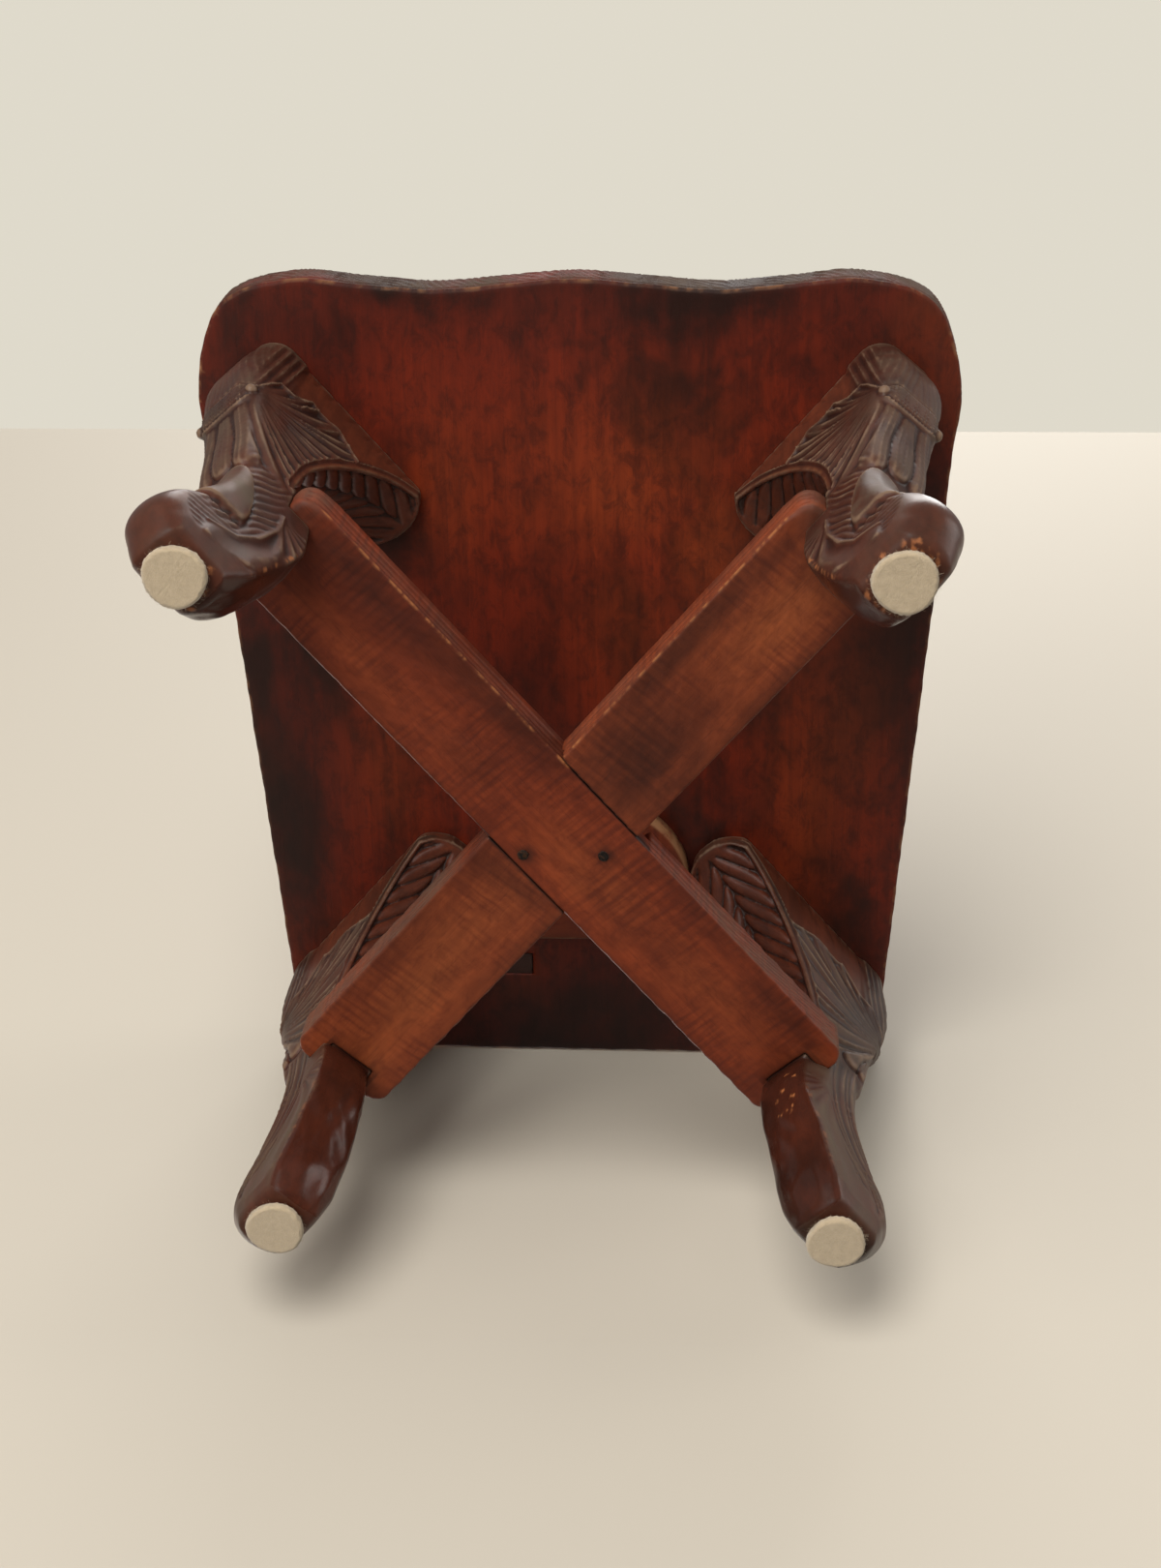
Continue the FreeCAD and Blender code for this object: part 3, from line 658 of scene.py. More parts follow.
        # smooth leaf over the instep, and wavy folds behind it
        h += leaf * (2.1 + 0.9 * np.clip(1 - m["oval"], 0, 1)) - 0.5 * leaf * swell(v, 0.9)
        if kind == "front":
            h += -1.1 * swell(np.sqrt(m["oval"]) - 1.07, 0.06)
            ripple = z + 1.6 * t + 2.0 * np.sin((t - z / 3) / 5) + 1.0 * np.sin(z / 6.1)
            h += m["folds"] * (0.45 + 0.25 * hashWave(ripple * 2.1, 0.4)) * np.sin(ripple * 2 * np.pi / 8.4)
        else:  # long strokes down the leg
            stroke = (np.interp(z, shinZ, shinT) - t - 0.10 * z + 1.2 * np.sin(z / 17)) / 4.6
            h += np.maximum(m["folds"], m["foot"]) * (1.5 * hollow(stroke + 0.25 * np.sin(2.3 * stroke)) + 0.5)
        # shell skirt on the heel, fluted from the knot, with a raised hem in front of it
        fromKnot = np.hypot(t - kt, z - kz)
        flutes = hollow((m["spread"] - skirtFrom) / 20.0 + 0.40 * np.sin(fromKnot / 15))
        flare = style["skirtFlare"] * soft(20, 60, fromKnot)
        depth = np.minimum(style["skirtDepth"], 0.075 * fromKnot)
        h += m["skirt"] * soft(1, 7, fromKnot) * (0.5 + flare + depth * flutes)
        if kind == "front":
            h += flank * 1.3 * swell(lineDistance(hem, t, z), 1.1)
            h += m["foot"] * 0.75 * (hollow((z + 0.22 * t + 0.8 * np.sin(t / 9)) / 4.4) + 0.3)
        # scooped soffit with two rows of swept lobes either side of a ridge
        s = along - archFrom
        ridge = v - 2.0
        row = np.abs(ridge)
        lean = ((s - legStyle["lobeLean"] * row) / legStyle["lobePitch"] + np.where(ridge > 0, 0.5, 0)) % 1
        reach = half - 3.0 - 2.0 * np.sign(ridge)
        ends, sides = (np.abs(lean - 0.5) / 0.5) ** 2.6, (np.abs(row - reach / 2) / (reach / 2)) ** 4
        lobe = np.sqrt(np.clip(1 - ends - sides, 0, 1))
        bed = m["arch"] * (1 - soft(half - 3.4, half - 2.0, np.abs(v))) * band(s, 6, archTo - archFrom - 10, 3)
        h += bed * (legStyle["lobeHeight"] * lobe - legStyle["scoop"])
        # knife facets on the plain plantar face
        facets = np.sin(v / 2.7 + 1.4 * np.sin(along / 11)) * np.sin(along / 4.9 + v / 9)
        facets = facets + 0.5 * np.sin(v / 1.9 - along / 8.3)
        return h + m["heel"] * 0.30 * facets * band(along, heelFrom + 12, heelTo - 4, 6)

    def button(t, v, z):
        edge = np.interp(bz, widths[:, 0], widths[:, 1]) - 2.6
        return np.hypot(np.hypot(t - bt, z - bz), (np.abs(v) - edge) * 1.1) - style["buttonRadius"]

    def carved(t, v, z):
        d, along, _, side = shape(t, v, z)
        body = roundMeet(d, side, np.interp(along, rounds[:, 0], rounds[:, 1]))
        body = np.maximum(body - relief(t, v, z), z - seatUnder)
        body = np.maximum(np.minimum(body, button(t, v, z)), -housing(t, v, z))
        return roundMeet(body, padThickness - z, legStyle["soleRound"])

    low = (style["tip"] - 4, -27, padThickness - 3)
    high = (style["knee"] + 5, 27, seatUnder + 3)
    points, faces = skin(rough, carved, low, high, legStyle["voxel"], 6.0)
    points = eased(points, faces, 1, 0.5)
    points[:, 2] = np.where(points[:, 2] > seatUnder - 0.8, seatUnder, points[:, 2])
    t, v, z = points.T
    m = zones(t, v, z)
    flank, onArch, onHeel, along = m["flank"], m["arch"], m["heel"], m["along"]
    ankle = style["ankleDustAndSheen"]
    knee = (1 - m["fan"]) * soft(bt - 18, bt - 10, t) * soft(112, 122, z)
    # grey film on the legs, partly real dust, partly painted sheen; the instep leaf gets the most, a painted silvery
    # sheen
    dustAndSheen = np.maximum.reduce([
        style["fanDustAndSheen"] * m["fan"], 0.75 * knee, 1.5 * m["leaf"], 0.8 * ankle * m["folds"], ankle * m["skirt"],
        ankle * m["foot"], 0.25 + 0.6 * (ankle - 0.25) * flank])
    dustAndSheen = dustAndSheen * (1 - onArch) * (1 - 0.85 * m["web"]) * (1 - 0.9 * onHeel) * (1 - 0.6 * m["rim"]) * (1 - 0.5 * m["cap"])
    carve = carveDepth(points, faces, 10)
    quiet = np.maximum.reduce([0.6 * onArch, 0.75 * (1 - flank) * (1 - soft(24, 60, z)), 0.4 * onHeel])
    carve = np.where(carve > 0, carve * (1 - quiet), carve)
    gloss = style["heelGloss"] * onHeel + (1 - soft(30, 70, z)) * (1 - flank) + 0.6 * m["leaf"]
    skirtEdge = band(flank, 0.25, 0.85, 0.1) * band(along, heelFrom + 30, heelTo - 22, 6)
    rimEdge = band(flank, 0.3, 0.8, 0.1) * band(along, archFrom + 30, archTo, 4)
    chipped = soft(-0.2, 0.5, hashWave(along * 5 + 30 * np.sign(v), 1.7))
    bare = style["skirtBare"] * skirtEdge * chipped + 0.15 * rimEdge
    # darker by the stretcher housing and on the soffit; the heel face gets a painted shade, strongest on the front legs
    soot = 0.8 * np.exp(-np.maximum(0, housing(t, v, z)) / 2.0) + 0.15 * onArch + style["heelShade"] * onHeel
    marks = {
        "carve": carve, "dustAndSheen": dustAndSheen, "gloss": np.clip(gloss, 0, 1.6), "bare": bare, "soot": np.clip(soot, 0, 1),
        "warm": 1.5 * onArch + 1.3 * m["web"]}
    return points, faces, marks


def flakes(points, spots, size):  # small chips knocked off the finish
    near = np.full(len(points), 1e9)
    for spot in spots:
        near = np.minimum(near, np.linalg.norm(points - spot, axis=1) * (1 + 0.4 * np.sin(points @ (1.9, 2.3, 1.1))))
    return 1 - soft(size * 0.6, size, near)


chipStyle = {"seed": 8, "count": 16, "size": 1.35, "t": (-40, -33), "v": (-11, 12), "z": (66, 106)}
scuffStyle = {  # seed and count for each front foot
    "front_right": (14, 40), "front_left": (15, 9), "ring": (13.5, 17.5), "height": (0.3, 4.0), "size": 1.0,
    "depth": 0.6, "flat": (0.6, 0.6, 1),
}
legMeshes = {kind: makeLeg(kind) for kind in ("front", "rear")}
for corner, (sx, sy) in corners.items():
    points, faces, marks = legMeshes["front" if sy < 0 else "rear"]
    marks = dict(marks)
    if corner == "rear_right":  # chips down one heel
        s = chipStyle
        rng = np.random.default_rng(s["seed"])
        spots = np.column_stack([rng.uniform(*s[axis], s["count"]) for axis in "tvz"])
        marks["bare"] = np.maximum(marks["bare"], flakes(points, spots, s["size"]))
    if corner in scuffStyle:  # front feet scuffed round the sole
        s = scuffStyle
        seed, count = s[corner]
        rng = np.random.default_rng(seed)
        angles, reach = rng.uniform(0, 2 * math.pi, count), rng.uniform(*s["ring"], count)
        height = padThickness + rng.uniform(*s["height"], count)
        spots = np.column_stack([reach * np.cos(angles), 0.92 * reach * np.sin(angles), height])
        scuffs = flakes(points * s["flat"], spots * s["flat"], s["size"])
        marks["bare"] = np.maximum(marks["bare"], s["depth"] * scuffs)
    shifted = points + np.array([frontReach if sy < 0 else rearReach, 0, 0])
    leg = makePiece(corner + "_carved_leg", onDiagonal(shifted, sx, sy), faces, legWood, marks)
    dress(leg, "leg_wood", corner + "_leg")
print("legs carved:", [len(m[1]) for m in legMeshes.values()], "faces")


# flat stretchers halved together at the crossing

def patches(spots, x, y):
    total = np.zeros(np.shape(x))
    for cx, cy, rx, ry, amount in spots:
        total = np.maximum(total, amount * np.exp(-((x - cx) / rx) ** 2 - ((y - cy) / ry) ** 2))
    return total


boardStains = {  # old dark smears and rubbed warm places: along, across, reach each way, depth
    "through_stretcher": {
        "darkPatches": [(228, 0, 26, 40, 0.55), (165, 20, 60, 13, 0.60), (85, 25, 60, 10, 0.50), (-70, 27, 60, 7, 0.45),
                   (-150, 21, 34, 12, 0.50), (-196, -24, 18, 12, 0.45), (110, -29, 110, 5, 0.40),
                   (-110, -29, 90, 4, 0.30), (60, -4, 20, 16, 0.25)],
        "glows": [(120, -12, 70, 12, 0.5), (-30, -5, 45, 18, 0.9), (-110, -2, 60, 18, 0.7), (-186, 10, 22, 12, 1.0)]},
    "lapped_stretcher": {
        "darkPatches": [(58, 6, 40, 34, 0.72), (115, -24, 80, 10, 0.62), (214, 0, 28, 40, 0.72), (120, 27, 70, 6, 0.40),
                   (-60, 27, 50, 6, 0.45), (-192, 0, 10, 40, 0.35), (-36, 0, 8, 40, 0.35), (-120, -28, 80, 5, 0.35),
                   (175, -20, 40, 8, 0.4)],
        "glows": [(158, 4, 34, 15, 1.0), (190, 12, 20, 10, 0.9), (-100, 0, 70, 20, 0.9), (-165, 6, 30, 16, 0.7)]},
}


def makeBoard(through, worn, seed):
    style = boardStyle
    frontEnd, rearEnd = boardEnds()
    middle = (boardLow + boardHigh) / 2
    skew = math.pi - 2 * crossAngle  # angle between the two boards

    def lap(t, v):  # distance past the other board's edge
        return np.abs(v * math.cos(skew) - t * math.sin(skew)) - style["half"] - style["clear"]

    def halving(t, v, z):
        return np.maximum(lap(t, v), middle - z if through else z - middle)

    def rough(t, v, z):
        flat = np.maximum(boardLow - z, z - boardHigh)
        return np.maximum(np.maximum(boardPlan(t, v), flat), -halving(t, v, z))

    def carved(t, v, z):
        edge = boardPlan(t, v)
        flat = np.maximum(boardLow - z, z - boardHigh)
        dents = np.clip(hashWave(t * 2.2, seed + np.sign(v)), 0, 1) * soft(-1, 4, lap(t, v))
        body = roundMeet(edge, flat, style["arris"] + 0.8 * dents + 3.0 * soft(frontEnd - 4, frontEnd + 8, t))
        onEdge = soft(-1.0, 1.5, edge - flat) * (np.abs(v) > style["half"] - 4)
        up = z - boardLow
        cut = sum(swell(up - reed, 0.9) for reed in style["reeds"])
        tooling = 0.75 * (hollow((up + 0.26 * t) / 3.3) + 0.5) * soft(50, 120, -t)
        under = (1 - onEdge) * style["wander"] * 0.35 * hashWave(t * 1.7 + v * 3.1, seed)
        reeded = style["reedDepth"] * cut * soft(-2, 6, lap(t, v)) * (1 - 0.8 * soft(50, 120, -t))
        body = body + onEdge * (reeded - tooling) - under * (flat > -3)
        return np.maximum(body, -halving(t, v, z))

    low = (-rearEnd - style["ear"] - 5, -style["half"] - 4, boardLow - 3)
    high = (frontEnd + style["ear"] + 5, style["half"] + 4, boardHigh + 3)
    points, faces = skin(rough, carved, low, high, style["voxel"], 5.0)
    t, v, z = points.T
    edge, past = boardPlan(t, v), lap(t, v)
    onEdge = soft(-1.0, 1.5, edge - np.maximum(boardLow - z, z - boardHigh)) * soft(-2, 2, past)
    nose = soft(frontEnd - 2, frontEnd + 8, t)
    arris = swell(np.hypot(np.maximum(0, -edge - 0.4), np.maximum(0, z - boardLow - 1.0)), 0.5)
    broken = hashWave(t * 3.1, seed) + 0.7 * hashWave(t * 9.7, seed + 2) + 0.5 * hashWave(t * 23.0, seed + 5)
    bare = arris * soft(-0.3, 0.4, broken) * soft(8, 26, t) * soft(0, 3, past) * np.where(v * worn > 0, 1.0, 0.25)
    bare = bare * (np.abs(v) > style["half"] - 4)
    # painted shadow line along the halving seam on the underside, and darker by the leg housings
    seamShadow = swell(past, 1.1) if not through else swell(edge, 0.8) * (1 - soft(0, 2, past))
    housed = np.exp(-np.maximum(0, np.minimum(frontEnd - t, t + rearEnd)) / 5.0) * (np.abs(v) < style["tongue"] + 3)
    soot = np.clip(seamShadow * (z < boardLow + 4) + 0.55 * housed, 0, 1)
    # grey film on the edge faces: partly real dust, partly painted sheen
    dustAndSheen = np.clip(onEdge * (0.35 + 0.65 * soft(20, 90, -t)) + nose, 0, 1)
    old = boardStains["through_stretcher" if through else "lapped_stretcher"]
    below = (1 - onEdge) * (z < boardLow + 6)
    soot = np.maximum(soot, below * patches(old["darkPatches"], t, v))
    warm = 0.1 * (1 - onEdge) + below * patches(old["glows"], t, v)
    marks = {"dustAndSheen": dustAndSheen, "gloss": 0 * t, "bare": bare, "soot": soot, "warm": warm}
    return points, faces, {"carve": carveDepth(points, faces, 8), **marks}


nailLow, nailHigh = nodeBox("crossing_nails")
nailInset = 3.0  # from the nails' box to their middles
boards = {"through_stretcher": (-1, 1, 1.3, throughWood), "lapped_stretcher": (1, -1, 4.1, lappedWood)}
for node, (side, worn, seed, material) in boards.items():
    points, faces, marks = makeBoard(node == "through_stretcher", worn, seed)
    placed = onDiagonal(points, side, -1)
    for x in (nailLow[0] + nailInset, nailHigh[0] - nailInset):
        stain = np.hypot(placed[:, 0] - x - 1.5, placed[:, 1] - nailLow[1] - nailInset)
        marks["soot"] = np.maximum(marks["soot"], 0.9 * swell(stain, boardStyle["stain"]))
    board = makePiece(node.replace("stretcher", "reeded_stretcher"), placed, faces, material, marks)
    dress(board, "stretcher_wood", node)
print("stretchers cut")


# seat plank: a lofted rim with gouge work, and hand-planed faces

seatStyle = {
    "frontWidth": 404.0, "rearWidth": 339.0, "depth": 460.0, "cornerRun": 55.0, "cornerShare": (0.30, 0.22),
    "crown": 146.0, "hollow": 5.5, "round": 7.0, "spacing": 1.1, "gouge": 4.8, "gougeDepth": 0.9, "lean": 0.55,
    "lip": 3.2, "rearCorner": 2.0, "dish": 2.2, "faceGrid": 7.0,
    "chips": {"seed": 4, "corner": (-194, -190), "rimPoints": 48, "count": 26, "height": 7, "size": 2.0},
    "darkPatches": [  # dark patches on the underside, old stains and, across the rear middle, painted shadow of the stretchers: middle, reach each way, depth
        (0, -232, 240, 26, 0.55), (-150, -205, 45, 40, 0.6), (-168, 60, 34, 130, 0.8), (0, 218, 120, 50, 0.95),
        (165, -190, 40, 45, 0.45), (-30, 0, 26, 30, 0.5), (150, 190, 30, 40, 0.3), (184, 20, 12, 190, 0.35)],
    "glows": [  # where the finish has rubbed thin and warm
        (20, -125, 70, 45, 0.8), (72, -88, 26, 34, 1.0), (-70, -120, 26, 48, 0.6), (125, 70, 28, 70, 0.7),
        (-110, 40, 30, 50, 0.5), (30, -40, 40, 60, 0.4), (130, -70, 30, 70, 0.8), (140, 20, 28, 80, 0.7)],
}


def seatOutline():
    s = seatStyle
    half = s["depth"] / 2

    def sideX(y):
        return (s["frontWidth"] + (s["rearWidth"] - s["frontWidth"]) * (y + half) / s["depth"]) / 2

    sideY = -half + s["cornerRun"]
    cornerX = sideX(sideY) + (s["crown"] - sideX(sideY)) * s["cornerShare"][0]
    cornerY = -half + s["cornerRun"] * s["cornerShare"][1]
    steps = [s["crown"] * k / 4 for k in range(-4, 5)]
    front = [(x, -half + s["hollow"] * (1 - math.cos(2 * math.pi * x / s["crown"])) / 2) for x in steps]
    sideEnd = sideY + 40
    left = [(-sideX(sideEnd), sideEnd), (-sideX(sideY), sideY), (-cornerX, cornerY)]
    right = [(-x, y) for x, y in reversed(left)]
    curve = curvePoints(left + front + right, 30)
    rear, rearX, turnX = s["rearCorner"], sideX(half), sideX(half - s["rearCorner"])
    tail = [(turnX, half - rear), (rearX - rear, half), (rear - rearX, half), (-turnX, half - rear)]
    loop = np.vstack([curve, tail])
    closed = np.vstack([loop, loop[:1]])
    length = np.concatenate([[0], np.cumsum(np.linalg.norm(np.diff(closed, axis=0), axis=1))])
    count = int(length[-1] / s["spacing"])
    at = np.linspace(0, length[-1], count, endpoint=False)
    return np.stack([np.interp(at, length, closed[:, 0]), np.interp(at, length, closed[:, 1])], 1), at


def ringFaces(count, rings):  # quads between rings of points
    ahead = [(i, (i + 1) % count) for i in range(count)]
    starts = range(0, (rings - 1) * count, count)
    return [(base + i, base + j, base + count + j, base + count + i) for base in starts for i, j in ahead]


def moved(faces, offset, flip=False):  # the same faces on points further down the list
    return [tuple(i + offset for i in (reversed(f) if flip else f)) for f in faces]


def fillFace(rim, height, spacing, lift):  # flat face inside a rim, on a loose grid so that it can dip and ripple
    low, high = rim.min(0), rim.max(0)
    xs, ys = np.meshgrid(np.arange(low[0], high[0], spacing), np.arange(low[1], high[1], spacing))
    d, _ = outlineDistance(rim[::6], xs.ravel(), ys.ravel())
    inner = np.stack([xs.ravel(), ys.ravel()], 1)[d < -spacing * 0.6]
    flat = [Vector(p) for p in np.vstack([rim, inner])]
    edges = [(i, (i + 1) % len(rim)) for i in range(len(rim))]
    verts, _, faces, _, _, _ = delaunay_2d_cdt(flat, edges, [], 1, 1e-5)
    points = np.array([(p.x, p.y) for p in verts])
    d, _ = outlineDistance(rim[::6], points[:, 0], points[:, 1])
    z = height + lift(points[:, 0], points[:, 1], np.clip(-d, 0, 1e9))
    return np.column_stack([points, z]), faces


def makeSeat():
    s = seatStyle
    rim, along = seatOutline()
    ahead = np.roll(rim, -3, 0) - np.roll(rim, 3, 0)
    ahead /= np.linalg.norm(ahead, axis=1)[:, None]
    inward = np.stack([-ahead[:, 1], ahead[:, 0]], 1)
    thick = seatTop - seatUnder
    rows = [(4.0, 0.0), (2.0, 0.0), (0.9, 0.15), (0.25, 0.7), (0.0, 1.5)]
    rows += [(0.0, h) for h in np.linspace(2.4, thick - s["round"], 15)]
    turns = np.linspace(0.2, math.pi / 2, 8)
    rows += [(s["round"] * (1 - math.cos(a)), thick - s["round"] * (1 - math.sin(a))) for a in turns]
    rows += [(s["round"] + 2, thick), (s["round"] + 4, thick)]
    halfDepth = s["depth"] / 2
    points = []
    for inset, up in rows:
        work = band(up, s["lip"] + 1, thick - 3.5, 1.5) * (inset < s["round"])
        slant = (s["lean"] + 0.35 * hashWave(along * 0.5, 3.1)) * 1.6 * up
        wave = hollow((along + 3.2 * hashWave(along * 1.3, 0.7) + slant) / s["gouge"])
        wave = wave * (0.65 + 0.35 * hashWave(along * 4, 2.0))
        cut = work * s["gougeDepth"] * -wave + 0.9 * swell(up - s["lip"], 0.9)
        cut = cut + 0.35 * (hashWave(along * 1.4, 5.1) + 1) * (up < 2.0)
        flat = rim + inward * (inset + cut)[:, None] if inset < s["round"] else rim + inward * inset
        flat[:, 1] = np.clip(flat[:, 1], seatLow[1], halfDepth - inset * 0.98)
        points.append(np.column_stack([flat, np.full(len(rim), seatUnder + up)]))
    count = len(rim)
    faces = ringFaces(count, len(rows))
    points = np.vstack(points)
    planed = lambda x, y, d: 0.12 * hashWave(x * 2.3 + 7, 1.1) * soft(2, 30, d)
    under, underFaces = fillFace(points[:count, :2], seatUnder, s["faceGrid"], planed)
    dished = lambda x, y, d: -s["dish"] * soft(8, 95, d) + 0.1 * hashWave(x * 2.0, 3.3) * soft(6, 30, d)
    top, topFaces = fillFace(points[-count:, :2], seatTop, s["faceGrid"], dished)
    offset = len(points)
    carve = np.zeros(offset + len(under) + len(top))
    carve[:offset] = carveDepth(points, np.array(faces), 8)
    faces += moved(underFaces, offset, True) + moved(topFaces, offset + len(under))
    every = np.vstack([points, under, top])
    x, y, z = every.T
    below = z < seatUnder + 1.0
    edge = np.zeros(len(every))
    edge[2 * count:offset - 2 * count] = 1  # the two innermost rings each side belong to the faces
    up = z - seatUnder
    # grey film on the gouged rim: partly real dust, partly painted sheen
    dustAndSheen = edge * band(up, 1.4, thick - 3, 0.6) * 1.2
    chips = s["chips"]
    rng = np.random.default_rng(chips["seed"])
    chipped = rim[np.argsort(np.hypot(*(rim - chips["corner"]).T))[:chips["rimPoints"]]]
    picked = chipped[rng.integers(0, chips["rimPoints"], chips["count"])]
    spots = np.column_stack([picked, seatUnder + rng.uniform(0, chips["height"], chips["count"])])
    rubbed = soft(-0.5, 0.6, hashWave(x * 1.9 + y * 2.3, 0.9) + 0.6 * hashWave(x * 6.1 - y * 5.3, 2.2))
    bare = np.maximum(0.95 * flakes(every, spots, chips["size"]), 0.7 * edge * band(up, 0.1, 1.7, 0.3) * rubbed)
    # under the seat the dark patches, with painted shadow of the stretchers at the rear middle; the rim slightly darker
    stainedAndShaded = np.where(below, patches(s["darkPatches"], x, y), 0.15 * edge)
    sat = np.where(z > seatTop - 3, 0.45 * np.exp(-((x / 120) ** 2 + (y / 130) ** 2)), 0)  # rubbed by sitting
    warm = np.where(below, patches(s["glows"], x, y), 0.0) + sat
    gloss = np.where(edge > 0, -1.2, np.where(below, 0.2, 0.55))
    carve = edge * np.clip(carve, -1, 0.45)
    marks = {"carve": carve, "dustAndSheen": dustAndSheen, "bare": bare, "gloss": gloss, "soot": stainedAndShaded, "warm": warm * 1.5}
    return makePiece("plank_seat", every, faces, seatWood, marks)


def weld(piece, gap=0.02):  # joins faces that were filled in apart, and drops points that none uses
    shape = bmesh.new()
    shape.from_mesh(piece.data)
    bmesh.ops.remove_doubles(shape, verts=shape.verts, dist=gap * mm)
    bmesh.ops.delete(shape, geom=[v for v in shape.verts if not v.link_faces], context="VERTS")
    bmesh.ops.recalc_face_normals(shape, faces=shape.faces)
    shape.to_mesh(piece.data)
    shape.free()
    piece.data.shade_smooth()


def borderLoop(faces):  # the points round a patch of faces, in order
    ahead = {}
    for face in faces:
        for a, b in zip(face, np.roll(face, -1)):
            ahead[(int(a), int(b))] = True
    follow = {a: b for a, b in ahead if (b, a) not in ahead}
    loop = [next(iter(follow))]
    while follow[loop[-1]] != loop[0]:
        loop.append(follow[loop[-1]])
    return np.array(loop)


def cutMortises(piece):
    weld(piece)
    s = backStyle
    wide = s["tenonOut"] - s["tenonIn"] + s["mortiseClear"]
    thin = 2 * s["tenonHalf"] + s["mortiseClear"]
    for sign in (-1, 1):
        cutter = bpy.data.meshes.new("mortise")
        box = bmesh.new()
        bmesh.ops.create_cube(box, size=1.0)
        size = Matrix.Diagonal((wide * mm, thin * mm, s["mortiseDeep"] * mm, 1))
        middle = Vector((sign * (s["tenonIn"] + s["tenonOut"]) / 2, s["tenonY"], seatUnder + 2))
        box.transform(Matrix.Translation(middle * mm) @ Matrix.Rotation(-s["rake"], 4, "X") @ size)
        box.to_mesh(cutter)
        box.free()
        tool = addObject("mortise", cutter)
        modifier = piece.modifiers.new("mortise", "BOOLEAN")
        modifier.operation, modifier.solver, modifier.object = "DIFFERENCE", "EXACT", tool
        done = bakedMesh(piece)
        piece.modifiers.clear()
        piece.data = done
        bpy.data.objects.remove(tool)
    piece.data.shade_smooth()


# back panel: a raked, vase-shaped plank with a carved face, worked flat and then leaned back

backStyle = {
    "rake": math.radians(5.5), "tenonY": 171.6, "height": 430.0, "thick": 22.0, "base": 160.0, "waist": 140.0,
    "shoulder": 312.0, "crest": 24.0, "tenonIn": 31.0, "tenonOut": 76.0, "tenonHalf": 6.7, "mortiseClear": 0.6,
    "mortiseDeep": 40.0, "border": 15.0, "ground": 3.4, "relief": 4.6, "voxel": (1.5, 1.2, 1.5), "planed": 12.0,
    "flower": (0, 292), "petals": [(62, 16, 0.62), (43, 12, 0.82), (25, 8, 1.0)], "heart": 11.0,
    "leaves": [  # root, tip, bow and half width of the leaves on one side
        ((16, 236), (112, 286), 0.14, 15), ((10, 214), (96, 226), 0.16, 13), ((8, 184), (70, 176), 0.14, 10.5),
        ((34, 344), (112, 386), -0.14, 14), ((52, 316), (130, 338), 0.10, 13), ((8, 356), (46, 414), 0.12, 10),
        ((6, 146), (54, 132), 0.12, 8.5)],
    "topLeaf": ((0, 340), (0, 428), 0.0, 11), "stem": (62, 236), "scale": 11.0,
}


def backOutline():
    s = backStyle
    foot = seatTop - seatUnder
    half = [(s["base"] / 2, 0), (s["waist"] / 2, 0.11), (s["waist"] * 0.62, 0.29), (s["shoulder"] * 0.42, 0.49),
            (s["shoulder"] / 2, 0.70), (s["shoulder"] * 0.46, 0.86)]
    right = [(x, foot + s["height"] * share) for x, share in half]
    top = foot + s["height"]
    right += [(s["shoulder"] * 0.33, top - s["crest"] * 1.2), (s["shoulder"] * 0.17, top - s["crest"])]
    left = [(-x, h) for x, h in reversed(right)]
    curve = curvePoints(right + [(0, top)] + left, 8)
    return np.vstack([[(s["base"] / 2, foot - 20)], curve, [(-s["base"] / 2, foot - 20)]])


